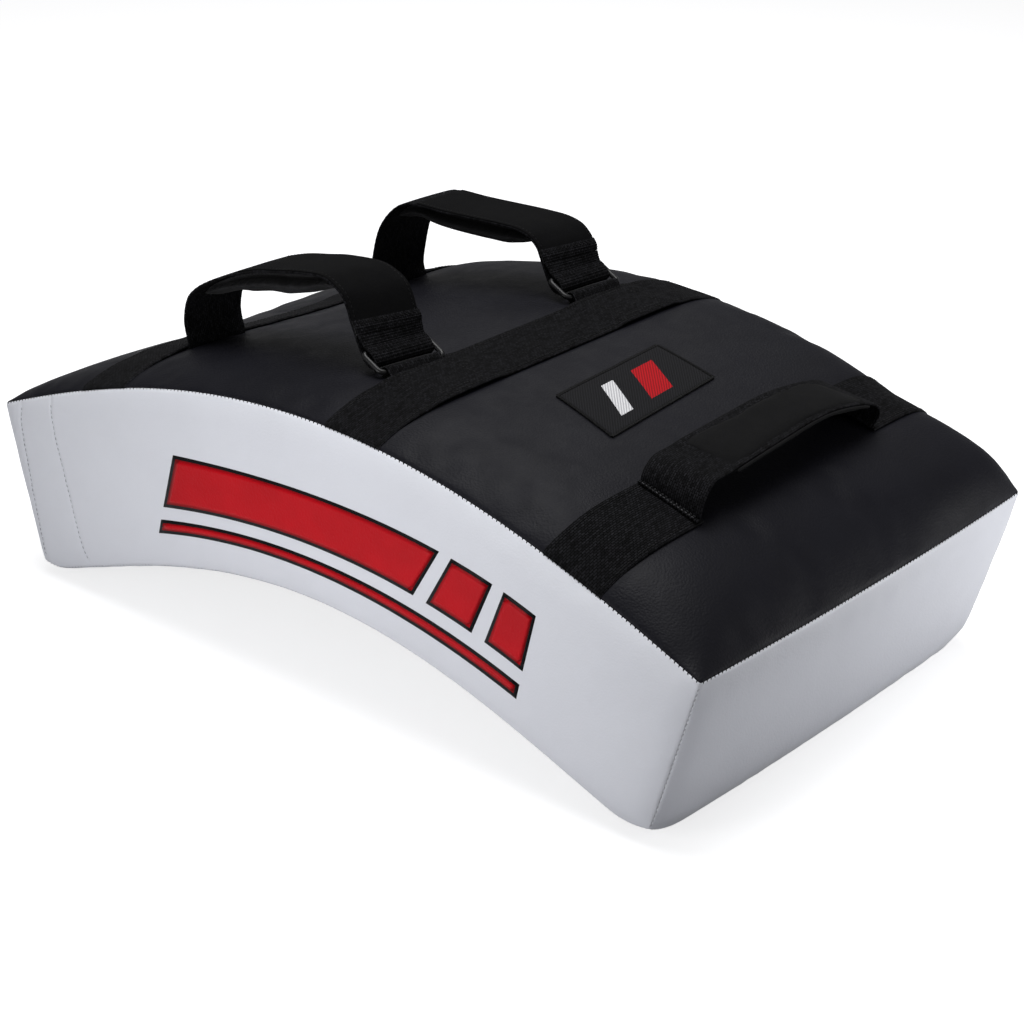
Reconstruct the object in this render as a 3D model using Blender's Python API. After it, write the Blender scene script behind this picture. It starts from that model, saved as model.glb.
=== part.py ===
"""Curved strike shield: a foam core in a sewn leather cover, carried by two forearm straps and a hand grip.

Metres, +Z up. X runs along the shield, Y across it. The shield lies on the two lower end edges of its
concave strike face, with the straps on top, and the origin is on the ground under its middle.
"""

from bisect import bisect
from math import acos, atan2, cos, hypot, pi, radians, sin, sqrt

import bmesh
import bpy
import numpy as np
from mathutils import Matrix, Vector

# Driving dimensions: pad
BACK_LENGTH = 0.6735          # seam line over the convex back, end to end
BACK_RADIUS = 0.610           # its bend in the middle
BACK_END_RADIUS = 4.20        # and at the ends, where it is almost straight
STRIKE_LENGTH = 0.5997        # seam line over the concave strike face
STRIKE_RADIUS = 0.457
STRIKE_END_RADIUS = -0.806    # the face turns out again at its ends
PAD_DEPTH = 0.1345            # seam to seam in the middle
PAD_WIDTH = 0.378
BACK_CROWN = 0.0125           # how far the back swells over its seams, in the middle
BACK_CROWN_RISE = 0.020       # and how much more it would swell at the ends
STRIKE_CROWN = 0.008
END_BOW = 0.004               # how far the right end swells
CROWN_POWER = 8               # high: the swelling is flat in the middle and falls off near the seams
SLOPE_SHARE = 0.005           # of half the length or width, over which a slope is measured

# Driving dimensions: cover and core
LEATHER = 0.0015              # panel of synthetic leather with its backing
GAP = 0.0003                  # between pieces that touch
CLOSURE_TAPE = 0.0012         # hook or loop tape
CLOSURE_WIDTH = 0.050
CLOSURE_EDGE = 0.006          # bare flap and panel above and below the tapes
CLOSURE_INSET = 0.007         # from the end of the side panel to its tape
CLOSURE_TRIM = 0.012          # what is cut off the lower corner of the hook tape, so that it swings out
CORE_PLAY = 0.0007            # between the core and the cover round it
STRIKE_LAYER = 0.040          # dense foam behind the strike face
MIDDLE_LAYER = 0.045          # soft foam

# Driving dimensions: webbing
WEBBING_WIDTH = 0.050
BAND = 0.0020                 # thickness of the bands sewn over the back
STRAP = 0.0018                # thickness of strap and grip webbing
LEFT_BAND_FROM_END = 0.12125  # middle of the band, along the seam line of the back from its end
MIDDLE_BAND_AT = 0.0346       # from the middle of that seam line
RIGHT_BAND_FROM_END = 0.10975
STRAP_OFFSET = 0.0995         # forearm straps, each side of the middle of the width
STRAP_PLAY = 0.0012           # between the left band's edge and the leg that comes out from under it
STRAP_TONGUE = 0.044          # sewn under the left band
STRAP_RISE = 0.0515           # arch over the line from foot to ring
STRAP_TAPE = 0.0010           # loop tape on the strap and hook tape on its tail
TAPE_START = 0.42             # share of the arch where the loop tape starts
TAIL_LENGTH = 0.0105
TAIL_START = 0.0135           # over the ring bar
PAD_START, PAD_END = 0.16, 0.88   # shares of the arch that the folded pad fills
PAD_UNDERSIDE = 0.0400        # over the line from foot to ring
PAD_TIP = 0.0010              # its thickness at both ends

# Driving dimensions: rings and keepers
WIRE = 0.0040                 # diameter
RING_WIDTH = 0.0600           # outside
RING_DEPTH = 0.0196           # between the centres of its two long bars
RING_CORNER = 0.0040          # radius of its corners at the middle of the wire
RING_TILT = radians(28)       # over the pad
TURN_PLAY = 0.0008            # of the strap round the ring bar
LEG_LEAN = radians(31)        # of the strap's leg at the ring, from upright
KEEPER = 0.0015
KEEPER_WIDTH = 0.048
KEEPER_RUN = 0.0050           # from the bar to where its two layers meet
KEEPER_TONGUE = 0.044         # sewn under the middle band
BUMP_RAMP = 0.012             # how fast the band comes down beside what lies under it

# Driving dimensions: hand grip and patch
GRIP_SPAN = 0.196
GRIP_SHIFT = 0.004            # its middle is off the middle of the width
GRIP_RISE = 0.0260
GRIP_LEAN = radians(15)       # towards the straps
GRIP_TONGUE = 0.014           # sewn down on the right band
GRIP_PAD = 0.0040
GRIP_PAD_FROM = 0.225         # share of the grip's length left bare at each end
PATCH = 0.0008
PATCH_LENGTH = 0.057          # along the shield
PATCH_WIDTH = 0.122
PATCH_AT = 0.126
PATCH_SHIFT = -0.004

# Outlines of the two arches, as (share of the span, share of the rise). The strap's straight leg follows its arch
STRAP_ARCH = [(0, 0), (0.03, 0.30), (0.10, 0.66), (0.20, 0.87), (0.35, 0.97), (0.50, 1), (0.66, 1), (0.79, 0.955),
              (0.87, 0.85)]
GRIP_ARCH = [(0, 0), (0.03, 0.30), (0.09, 0.68), (0.20, 0.92), (0.38, 1), (0.62, 1), (0.80, 0.92), (0.91, 0.68),
             (0.97, 0.30), (1, 0)]

COLOURS = {                   # linear red, green, blue, then roughness
    "black leather": ((0.016, 0.018, 0.022), 0.45),
    "white leather": ((0.72, 0.74, 0.78), 0.40),
    "webbing": ((0.008, 0.008, 0.010), 0.80),
    "soft pad": ((0.012, 0.012, 0.014), 0.90),
    "hook tape": ((0.010, 0.010, 0.012), 0.95),
    "black wire": ((0.02, 0.02, 0.022), 0.30),
    "dense foam": ((0.10, 0.11, 0.13), 0.95),
    "soft foam": ((0.55, 0.50, 0.30), 0.95),
    "woven patch": ((0.012, 0.012, 0.014), 0.85),
}

for old in list(bpy.data.objects):
    bpy.data.objects.remove(old)
shield = bpy.data.collections.new("curved_strike_shield")
bpy.context.scene.collection.children.link(shield)


def material(name):
    """The Principled material of that name in COLOURS"""
    made = bpy.data.materials.get(name)
    if made is None:
        colour, roughness = COLOURS[name]
        made = bpy.data.materials.new(name)
        made.use_nodes = True
        shader = made.node_tree.nodes["Principled BSDF"]
        shader.inputs["Base Color"].default_value = (*colour, 1)
        shader.inputs["Roughness"].default_value = roughness
        shader.inputs["Metallic"].default_value = 1.0 if name == "black wire" else 0.0
    return made


# Shape of the pad

def bent_line(length, radius, end_radius):
    """Shares and points of a line whose bend eases from its middle to its ends, a little overlong"""
    half = length / 2
    bend_middle, bend_end = 1 / radius, 1 / end_radius
    arc = np.linspace(-1.1 * half, 1.1 * half, 441)
    heading = -(bend_middle * arc + (bend_end - bend_middle) * arc**3 / (3 * half**2))
    step = arc[1] - arc[0]
    x = np.cumsum(np.cos(heading)) * step
    z = np.cumsum(np.sin(heading)) * step
    middle = len(arc) // 2
    return arc / half, x - x[middle], z - z[middle]


LEFT_BAND_AT = LEFT_BAND_FROM_END - BACK_LENGTH / 2
RIGHT_BAND_AT = BACK_LENGTH / 2 - RIGHT_BAND_FROM_END
BACK_LINE = bent_line(BACK_LENGTH, BACK_RADIUS, BACK_END_RADIUS)
STRIKE_LINE = bent_line(STRIKE_LENGTH, STRIKE_RADIUS, STRIKE_END_RADIUS)
STRIKE_HEIGHT = -float(np.interp(1, STRIKE_LINE[0], STRIKE_LINE[2]))   # of its middle over its ends
BACK_HEIGHT = STRIKE_HEIGHT + PAD_DEPTH


def seam(line, height, u):
    """Point of a seam line at u, from -1 at the left end to 1 at the right, in the XZ plane"""
    x = float(np.interp(u, line[0], line[1])) - END_BOW / 2
    return Vector((x, 0, height + float(np.interp(u, line[0], line[2]))))


def swelling(u, v):
    """Share of the full crown at u along and v across, both from -1 to 1"""
    return max(0, 1 - abs(u) ** CROWN_POWER) * max(0, 1 - abs(v) ** CROWN_POWER)


def flat_point(u, v, depth_share):
    """Point inside the pad without its crowns: depth_share is 0 on the strike face and 1 on the back"""
    point = seam(STRIKE_LINE, STRIKE_HEIGHT, u).lerp(seam(BACK_LINE, BACK_HEIGHT, u), depth_share)
    point.x += END_BOW * (1 - v**2) * max(0, u) ** CROWN_POWER
    point.y = v * PAD_WIDTH / 2
    return point


def back_point(u, v):
    """Point on the swollen back"""
    crown = (BACK_CROWN + BACK_CROWN_RISE * u**2) * swelling(u, v)
    side = seam(BACK_LINE, BACK_HEIGHT, u + SLOPE_SHARE) - seam(BACK_LINE, BACK_HEIGHT, u - SLOPE_SHARE)
    return flat_point(u, v, 1) + Vector((-side.z, 0, side.x)).normalized() * crown


def strike_point(u, v):
    """Point on the swollen strike face"""
    side = seam(STRIKE_LINE, STRIKE_HEIGHT, u + SLOPE_SHARE) - seam(STRIKE_LINE, STRIKE_HEIGHT, u - SLOPE_SHARE)
    return flat_point(u, v, 0) + Vector((side.z, 0, -side.x)).normalized() * STRIKE_CROWN * swelling(u, v)


def normal_of(surface, u, v):
    """Unit normal of a surface at u, v, pointing up"""
    along = surface(u + SLOPE_SHARE, v) - surface(u - SLOPE_SHARE, v)
    across = surface(u, v + SLOPE_SHARE) - surface(u, v - SLOPE_SHARE)
    return along.cross(across).normalized()


def over_back(u, v, lift):
    """Point lift above the swollen back, along its normal"""
    return back_point(u, v) + normal_of(back_point, u, v) * lift


def from_arc(arc):
    """u of a place that is measured along the back's seam line from the middle"""
    return arc / (BACK_LENGTH / 2)


def from_width(y):
    """v of a place that is measured across from the middle"""
    return y / (PAD_WIDTH / 2)


# Making solids

def keep(mesh, name, finish):
    """Turns a bmesh into a named object of the shield"""
    bmesh.ops.recalc_face_normals(mesh, faces=mesh.faces[:])
    if mesh.calc_volume(signed=True) < 0:
        bmesh.ops.reverse_faces(mesh, faces=mesh.faces[:])
    data = bpy.data.meshes.new(name)
    mesh.to_mesh(data)
    mesh.free()
    data.materials.append(material(finish))
    piece = bpy.data.objects.new(name, data)
    shield.objects.link(piece)
    return piece


def block(name, place, cells, finish):
    """A slab of cells[0] by cells[1] cells. place(a, b, c) puts its corners, with a, b and c from 0 to 1"""
    mesh = bmesh.new()
    bmesh.ops.create_grid(mesh, x_segments=cells[0], y_segments=cells[1], size=0.5)
    raised = bmesh.ops.extrude_face_region(mesh, geom=mesh.faces[:], use_keep_orig=True)["geom"]
    for item in raised:
        if isinstance(item, bmesh.types.BMVert):
            item.co.z = 1
    for vert in mesh.verts:
        vert.co = place(vert.co.x + 0.5, vert.co.y + 0.5, vert.co.z)
    return keep(mesh, name, finish)


def plate(name, outline, thickness, middle, finish):
    """A flat piece whose outline lies in the XZ plane, thickness thick round y = middle"""
    flat = bpy.data.curves.new(name, "CURVE")
    flat.dimensions = "2D"
    flat.fill_mode = "BOTH"
    flat.extrude = thickness / 2
    spline = flat.splines.new("POLY")
    spline.points.add(len(outline) - 1)
    for point, (x, z) in zip(spline.points, outline):
        point.co = (x, z, 0, 1)
    spline.use_cyclic_u = True
    flat.materials.append(material(finish))
    piece = bpy.data.objects.new(name, flat)
    piece.location.y = middle
    piece.rotation_euler.x = pi / 2
    shield.objects.link(piece)
    return piece


def smooth(points, steps=4):
    """Points of a smooth line through the given ones"""
    known = [np.array(p, float) for p in points]
    known = [2 * known[0] - known[1], *known, 2 * known[-1] - known[-2]]
    line = []
    for before, start, end, after in zip(known, known[1:], known[2:], known[3:]):
        for t in np.arange(steps) / steps:
            line.append(0.5 * (2 * start + (end - before) * t + (2 * before - 5 * start + 4 * end - after) * t**2
                               + (3 * start - before - 3 * end + after) * t**3))
    return [*line, known[-2]]


def beside(line, distance):
    """The line moved sideways, to its left for a positive distance"""
    points = np.array(line)
    run = np.gradient(points, axis=0)
    run /= np.linalg.norm(run, axis=1)[:, None]
    return points + np.stack([-run[:, 1], run[:, 0]], axis=1) * distance


def ribbon(line, thickness, shift=0.0):
    """Closed outline of a strip that follows a line, its middle moved sideways by shift"""
    left = beside(line, shift + thickness / 2)
    right = beside(line, shift - thickness / 2)
    return [*left, *right[::-1]]


def part_of(line, start, end):
    """The stretch of a line between two shares of its length"""
    points = np.array(line)
    run = np.concatenate([[0], np.cumsum(np.linalg.norm(np.diff(points, axis=0), axis=1))])
    run /= run[-1]
    inside = [s for s in run if start + 0.01 < s < end - 0.01]
    return [np.array([np.interp(s, run, points[:, 0]), np.interp(s, run, points[:, 1])])
            for s in (start, *inside, end)]


# Cover

# Lines of the pad's surfaces along u and v, closer together near the seams, where the cover turns
U_LINES = [-0.45 * cos(pi * k / 24) + 0.55 * (k / 12 - 1) for k in range(25)]
V_LINES = [-cos(pi * k / 12) for k in range(13)]


def within(lines, start, end):
    """The lines between start and end, with these two in place of the ones beside them"""
    return [start, *(line for line in lines if start + 0.012 < line < end - 0.012), end]


def sheet(name, place, u_lines, v_lines, finish):
    """A slab on lines of the pad. place(u, v, c) puts its corners, with c from 0 to 1 through it"""
    def corner(a, b, c):
        return place(u_lines[round(a * (len(u_lines) - 1))], v_lines[round(b * (len(v_lines) - 1))], c)
    return block(name, corner, (len(u_lines) - 1, len(v_lines) - 1), finish)


def lining(surface, side, u, v):
    """Point on the inside of a large panel. side is 1 where the inside lies under it, -1 where it lies over it"""
    return surface(u, v) - normal_of(surface, u, v) * LEATHER * side


def cover_panel(name, surface, side, finish):
    """A panel over one large face"""
    def place(u, v, c):
        return surface(u, v) if c > 0.5 else lining(surface, side, u, v)
    return sheet(name, place, U_LINES, V_LINES, finish)


def neighbours(lines, value):
    """The lines before and after a value, and its share of the way between them"""
    after = min(len(lines) - 1, max(1, bisect(lines, value)))
    before = after - 1
    return lines[before], lines[after], (value - lines[before]) / (lines[after] - lines[before])


def against_lining(surface, side, u, v):
    """Point of the core just inside the flat facets of a large panel's inside"""
    u_before, u_after, u_share = neighbours(U_LINES, u)
    v_before, v_after, v_share = neighbours(V_LINES, v)
    near = lining(surface, side, u_before, v_before).lerp(lining(surface, side, u_after, v_before), u_share)
    far = lining(surface, side, u_before, v_after).lerp(lining(surface, side, u_after, v_after), u_share)
    return near.lerp(far, v_share) - normal_of(surface, u, v) * CORE_PLAY * side


def end_share(distance):
    """Share of the pad's depth at its ends that a distance takes"""
    return distance / (seam(BACK_LINE, BACK_HEIGHT, 1) - seam(STRIKE_LINE, STRIKE_HEIGHT, 1)).length


def side_outline():
    """Outline of a long side panel: the two seam lines, drawn in by the panels that lie over them"""
    inset = LEATHER + GAP
    shares = np.linspace(-1, 1, 33)
    outline = []
    for line, height, inward, order in ((STRIKE_LINE, STRIKE_HEIGHT, 1, 1), (BACK_LINE, BACK_HEIGHT, -1, -1)):
        for u in shares[::order]:
            run = (seam(line, height, u + SLOPE_SHARE) - seam(line, height, u - SLOPE_SHARE)).normalized()
            point = seam(line, height, u) + Vector((-run.z, 0, run.x)) * inset * inward
            outline.append((point.x, point.z))
    return outline


cover_panel("back_panel", back_point, 1, "black leather")
cover_panel("strike_panel", strike_point, -1, "white leather")
SIDE_MIDDLE = PAD_WIDTH / 2 - LEATHER / 2
plate("near_side_panel", side_outline(), LEATHER, -SIDE_MIDDLE, "white leather")
plate("far_side_panel", side_outline(), LEATHER, SIDE_MIDDLE, "white leather")

INNER_WIDTH = PAD_WIDTH - 2 * (LEATHER + GAP)     # between the long side panels
SEAM_SHARE = end_share(LEATHER + GAP)


def end_place(end):
    """Corners of the panel at the left end, -1, or the right end, 1"""
    def place(a, b, c):
        v = (2 * a - 1) * INNER_WIDTH / PAD_WIDTH
        depth_share = SEAM_SHARE + b * (1 - 2 * SEAM_SHARE)
        outside = flat_point(end, v, depth_share)
        inside = flat_point(end * 0.9, v, depth_share)
        return outside + (inside - outside).normalized() * LEATHER * c
    return place


block("right_end_panel", end_place(1), (8, 4), "white leather")
end_flap = block("end_flap", end_place(-1), (4, 4), "white leather")

# Closure at the left end: the flap hangs from the back panel and carries a hook tape at each side

FLAP_TOP = flat_point(-1, 0, 1 - SEAM_SHARE)
FLAP_FOOT = flat_point(-1, 0, SEAM_SHARE)
FLAP_DOWN = (FLAP_FOOT - FLAP_TOP).normalized()
FLAP_IN = Vector((-FLAP_DOWN.z, 0, FLAP_DOWN.x))


def tape_outline(start, width, trim):
    """Outline in the XZ plane of a tape along the left end, its lower inner corner cut off by trim"""
    height = (FLAP_FOOT - FLAP_TOP).length - CLOSURE_EDGE
    corners = [(start, CLOSURE_EDGE), (start + width, CLOSURE_EDGE), (start + width, height - trim), (start, height)]
    points = [FLAP_TOP + FLAP_IN * inward + FLAP_DOWN * down for inward, down in corners]
    return [(p.x, p.z) for p in points]


LOOP_TAPE_MIDDLE = PAD_WIDTH / 2 - LEATHER - GAP - CLOSURE_TAPE / 2
HOOK_TAPE_MIDDLE = LOOP_TAPE_MIDDLE - CLOSURE_TAPE - GAP
hook_tapes = []
for side_name, side in (("near", -1), ("far", 1)):
    plate(f"{side_name}_closure_loop_tape", tape_outline(CLOSURE_INSET, CLOSURE_WIDTH, CLOSURE_TRIM),
          CLOSURE_TAPE, side * LOOP_TAPE_MIDDLE, "hook tape")
    hook_tapes.append(plate(f"{side_name}_closure_hook_tape",
                            tape_outline(LEATHER + GAP, CLOSURE_WIDTH, CLOSURE_TRIM),
                            CLOSURE_TAPE, side * HOOK_TAPE_MIDDLE, "hook tape"))

# Core: three layers of foam cut to the curve, the upper one shaped to the crown of the back

CORE_HALF_WIDTH = HOOK_TAPE_MIDDLE - CLOSURE_TAPE / 2 - CORE_PLAY
CORE_ENDS = 1 - (LEATHER + CORE_PLAY) / (STRIKE_LENGTH / 2)


def core_layer(name, low, high, finish):
    """A foam layer between two heights over the strike face, where None is the inside of the back panel"""
    def place(u, v, c):
        height = low if c < 0.5 else high
        if height is None:
            return against_lining(back_point, 1, u, v)
        if height == 0:
            return against_lining(strike_point, -1, u, v)
        foot = flat_point(u, v, 0)
        return foot + (flat_point(u, v, 1) - foot).normalized() * height
    edge = CORE_HALF_WIDTH / (PAD_WIDTH / 2)
    return sheet(name, place, within(U_LINES, -CORE_ENDS, CORE_ENDS), within(V_LINES, -edge, edge), finish)


core_layer("foam_strike_layer", 0, STRIKE_LAYER, "dense foam")
core_layer("foam_middle_layer", STRIKE_LAYER + GAP, STRIKE_LAYER + MIDDLE_LAYER, "soft foam")
core_layer("foam_back_layer", STRIKE_LAYER + MIDDLE_LAYER + GAP, None, "dense foam")


# Bands of webbing, sewn flat across the back

def bump(y, reach):
    """1 over a strap's width at each strap, falling to 0 beside it"""
    beyond = abs(abs(y) - STRAP_OFFSET) - reach
    share = min(1, max(0, 1 - beyond / BUMP_RAMP))
    return share * share * (3 - 2 * share)


INNER_EDGE = from_width(STRAP_OFFSET - WEBBING_WIDTH / 2)   # where the back is highest under a strap


def band(name, arc, start, end, over):
    """A band from v = start to v = end, lifted over what is sewn under it"""
    reach = WEBBING_WIDTH / 2 + 2 * GAP
    ramps = [side * (STRAP_OFFSET + edge * (reach + BUMP_RAMP * k / 4))
             for side in (-1, 1) for edge in (-1, 1) for k in range(5)] if over else []
    v_lines = sorted([*V_LINES, *(from_width(y) for y in ramps)])
    v_lines = [v for k, v in enumerate(v_lines) if k == 0 or v - v_lines[k - 1] > 0.002]
    u_lines = [from_arc(arc + (k / 4 - 0.5) * WEBBING_WIDTH) for k in range(5)]

    def place(u, v, c):
        under = over
        if over and abs(v) > INNER_EDGE:
            fall = back_point(u, INNER_EDGE) - back_point(u, abs(v))
            under += Vector((fall.x, fall.z)).length
        return over_back(u, v, GAP + BAND * c + under * bump(v * PAD_WIDTH / 2, reach))
    return sheet(name, place, u_lines, within(v_lines, start, end), "webbing")


KEEPER_STACK = 2 * (KEEPER + GAP)
GRIP_ENDS = (GRIP_SHIFT - GRIP_SPAN / 2, GRIP_SHIFT + GRIP_SPAN / 2)
band("left_band", LEFT_BAND_AT, -1, 1, STRAP + GAP)
band("middle_band", MIDDLE_BAND_AT, -1, 1, KEEPER_STACK)
band("right_band_near", RIGHT_BAND_AT, -1, from_width(GRIP_ENDS[0]), 0)
band("right_band_far", RIGHT_BAND_AT, from_width(GRIP_ENDS[1]), 1, 0)


# Forearm straps, each with its ring, keeper, tail and folded pad

def strap_frame(arc, lift):
    """Point over the back under a strap, and the directions along and out of the back, in the XZ plane"""
    u = from_arc(arc)
    along = back_point(u + SLOPE_SHARE, INNER_EDGE) - back_point(u - SLOPE_SHARE, INNER_EDGE)
    along = Vector((along.x, along.z)).normalized()
    out = Vector((-along.y, along.x))
    base = back_point(u, INNER_EDGE)
    return Vector((base.x, base.z)) + out * lift, along, out


def polar(centre, radius, angle):
    """Point round a centre in the XZ plane"""
    return np.array([centre[0] + radius * cos(angle), centre[1] + radius * sin(angle)])


KEEPER_BEND = WIRE / 2 + GAP + KEEPER / 2
RING_ARC = MIDDLE_BAND_AT - WEBBING_WIDTH / 2 - KEEPER_RUN - KEEPER / 2
LOWER_BAR, BACK_ALONG, BACK_OUT = strap_frame(RING_ARC, GAP + KEEPER / 2 + KEEPER_BEND)
UPPER_BAR = LOWER_BAR + Vector((-cos(RING_TILT), sin(RING_TILT))) * RING_DEPTH
LEG_UP = Vector((-sin(LEG_LEAN), cos(LEG_LEAN)))
LEG_OUT = Vector((cos(LEG_LEAN), sin(LEG_LEAN)))
TURN = WIRE / 2 + TURN_PLAY + STRAP / 2
STACK = STRAP + 2 * STRAP_TAPE + 3 * GAP        # from the strap's middle to its tail's middle
STRAP_LEG_AT = LEFT_BAND_AT + WEBBING_WIDTH / 2 + STRAP_PLAY + STRAP / 2
FOOT = strap_frame(STRAP_LEG_AT, GAP + STRAP / 2)[0]
LEG_END = UPPER_BAR - LEG_OUT * TURN
LEG_TOP = LEG_END + LEG_UP * (TAIL_START + TAIL_LENGTH)


def on_chord(share, height):
    """Point over the line from the strap's foot to the lower end of its other leg"""
    chord = LEG_END - FOOT
    up = Vector((-chord.y, chord.x)).normalized()
    return np.array(FOOT + chord * share + up * height)


def strap_line():
    """Middle line of a forearm strap over its arch and down its straight leg to the ring"""
    arch = [on_chord(share, rise * STRAP_RISE) for share, rise in STRAP_ARCH]
    return [*smooth([*arch, LEG_TOP, LEG_END])[:-5], np.array(LEG_TOP), np.array(LEG_END)]


def tongue_line():
    """Middle line of the sewn foot, from its free end to the leg"""
    arcs = np.linspace(STRAP_LEG_AT - STRAP_TONGUE, STRAP_LEG_AT - STRAP / 2, 5)
    return [np.array(strap_frame(arc, GAP + STRAP / 2)[0]) for arc in arcs]


def turn_line():
    """Middle line of the turn round the ring bar, from the leg to where the tail starts"""
    start = LEG_LEAN + pi
    turn = [polar(UPPER_BAR, TURN, start + pi * k / 10) for k in range(11)]
    top = UPPER_BAR + LEG_OUT * (STACK - TURN) + LEG_UP * (TAIL_START - GAP - STRAP / 2)
    return [*turn, np.array(top)]


ARCH = strap_line()
ARCH_LENGTH = float(np.linalg.norm(np.diff(np.array(ARCH), axis=0), axis=1).sum())
STRAP_LINE = [*tongue_line(), *ARCH[1:-1], *turn_line()]
TAPE_LINE = part_of(ARCH, TAPE_START, 1 - TAIL_START / ARCH_LENGTH)
PAD_LINE = part_of(ARCH, PAD_START, PAD_END)


def folded_pad_outline():
    """Outline of the pad under the crown: along the strap above, flat below, with round ends"""
    above = beside(PAD_LINE, -(STRAP / 2 + GAP))
    chord_up = (on_chord(0, 1) - on_chord(0, 0))
    origin = on_chord(0, 0)
    count = len(above)
    below = []
    for k, point in enumerate(above):
        height = (point - origin) @ chord_up
        round_end = sqrt(max(0, 1 - abs(2 * k / (count - 1) - 1) ** 6))
        below.append(point - chord_up * max(PAD_TIP, (height - PAD_UNDERSIDE) * round_end))
    return [*above, *below[::-1]]


def keeper_outline():
    """Outline of a keeper: a short strip folded round the lower bar, both its ends under the band"""
    rear = RING_ARC + KEEPER_BEND + KEEPER_TONGUE
    low = [np.array(strap_frame(arc, GAP + KEEPER / 2)[0]) for arc in np.linspace(rear, RING_ARC, 5)]
    slope = atan2(BACK_ALONG.y, BACK_ALONG.x)
    upper = GAP + KEEPER / 2 + KEEPER + GAP
    fall = upper - (GAP + KEEPER / 2 + KEEPER_BEND)
    leave = atan2(fall, KEEPER_RUN) + acos(KEEPER_BEND / hypot(KEEPER_RUN, fall))
    sweep = 3 * pi / 2 - leave
    fold = [polar(LOWER_BAR, KEEPER_BEND, slope - pi / 2 - sweep * k / 12) for k in range(1, 13)]
    top = [np.array(strap_frame(arc, upper)[0]) for arc in np.linspace(RING_ARC + KEEPER_RUN, rear, 4)]
    return ribbon([*low, *fold, *top], KEEPER)


def ring(name, middle):
    """A rectangular ring of wire with round corners, its origin on the bar in the keeper"""
    wire = bpy.data.curves.new(name, "CURVE")
    wire.dimensions = "3D"
    wire.bevel_depth = WIRE / 2
    wire.bevel_resolution = 3
    wire.materials.append(material("black wire"))
    half = (RING_WIDTH - WIRE) / 2 - RING_CORNER
    corners = [(half, RING_CORNER, -pi / 2), (half, RING_DEPTH - RING_CORNER, 0),
               (-half, RING_DEPTH - RING_CORNER, pi / 2), (-half, RING_CORNER, pi)]
    points = [(y + RING_CORNER * cos(start + pi / 2 * k / 4), depth + RING_CORNER * sin(start + pi / 2 * k / 4))
              for y, depth, start in corners for k in range(5)]
    spline = wire.splines.new("POLY")
    spline.points.add(len(points) - 1)
    for point, (y, depth) in zip(spline.points, points):
        point.co = (-depth * cos(RING_TILT), y, depth * sin(RING_TILT), 1)
    spline.use_cyclic_u = True
    piece = bpy.data.objects.new(name, wire)
    piece.location = (LOWER_BAR.x, middle, LOWER_BAR.y)
    shield.objects.link(piece)
    return piece


def tail_outline(thickness, shift):
    """Outline of a layer of the tail, shift outside the strap's middle line, its lower edge rounded off"""
    root = np.array(UPPER_BAR + LEG_OUT * (shift - TURN) + LEG_UP * TAIL_START)
    up, out = np.array(LEG_UP), np.array(LEG_OUT)
    top = root + up * TAIL_LENGTH
    lower = [root + (out * cos(angle) + up * sin(angle)) * thickness / 2 for angle in np.linspace(-pi, 0, 7)]
    return [*lower, top + out * thickness / 2, top - out * thickness / 2]


def hinge_empty(name, x, y, z):
    """An empty that carries a moving body, on its joint's axis"""
    empty = bpy.data.objects.new(name, None)
    empty.location = (x, y, z)
    shield.objects.link(empty)
    return empty


def carry(empty, *pieces):
    """Parents pieces to an empty where they are"""
    place = Matrix.Translation(empty.location)
    for piece in pieces:
        piece.parent = empty
        piece.matrix_parent_inverse = place.inverted()


carry(hinge_empty("end_flap_axis", *FLAP_TOP), end_flap, *hook_tapes)
for side_name, side in (("near", -1), ("far", 1)):
    middle = side * STRAP_OFFSET
    strap = plate(f"{side_name}_arm_strap", ribbon(STRAP_LINE, STRAP), WEBBING_WIDTH, middle, "webbing")
    tape = plate(f"{side_name}_strap_loop_tape", ribbon(TAPE_LINE, STRAP_TAPE, (STRAP + STRAP_TAPE) / 2 + GAP),
                 WEBBING_WIDTH, middle, "hook tape")
    pad = plate(f"{side_name}_strap_pad", folded_pad_outline(), WEBBING_WIDTH, middle, "soft pad")
    tail = plate(f"{side_name}_strap_tail", tail_outline(STRAP, STACK), WEBBING_WIDTH, middle, "webbing")
    tail_tape = plate(f"{side_name}_tail_hook_tape",
                      tail_outline(STRAP_TAPE, STACK - (STRAP + STRAP_TAPE) / 2 - GAP),
                      WEBBING_WIDTH, middle, "hook tape")
    plate(f"{side_name}_keeper", keeper_outline(), KEEPER_WIDTH, middle, "webbing")
    carry(hinge_empty(f"{side_name}_strap_axis", UPPER_BAR.x, middle, UPPER_BAR.y), strap, tape, pad)
    tail_root = UPPER_BAR + LEG_OUT * (STACK - TURN) + LEG_UP * TAIL_START
    carry(hinge_empty(f"{side_name}_tail_axis", tail_root.x, middle, tail_root.y), tail, tail_tape)
    ring(f"{side_name}_ring", middle)


# Hand grip along the right band, leaning towards the straps, and the patch

ON_BAND = 2 * GAP + BAND + STRAP / 2


def grip_line():
    """Middle line of the hand grip, as (y, height over the back), feet included"""
    rise = GRIP_RISE - ON_BAND
    arch = smooth([(GRIP_ENDS[0] + share * GRIP_SPAN, ON_BAND + height * rise) for share, height in GRIP_ARCH])
    near_foot = [np.array([GRIP_ENDS[0] - GRIP_TONGUE * k, ON_BAND]) for k in (1, 0.5, 0.15)]
    far_foot = [np.array([GRIP_ENDS[1] + GRIP_TONGUE * k, ON_BAND]) for k in (0.15, 0.5, 1)]
    return [*near_foot, *arch, *far_foot]


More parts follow.
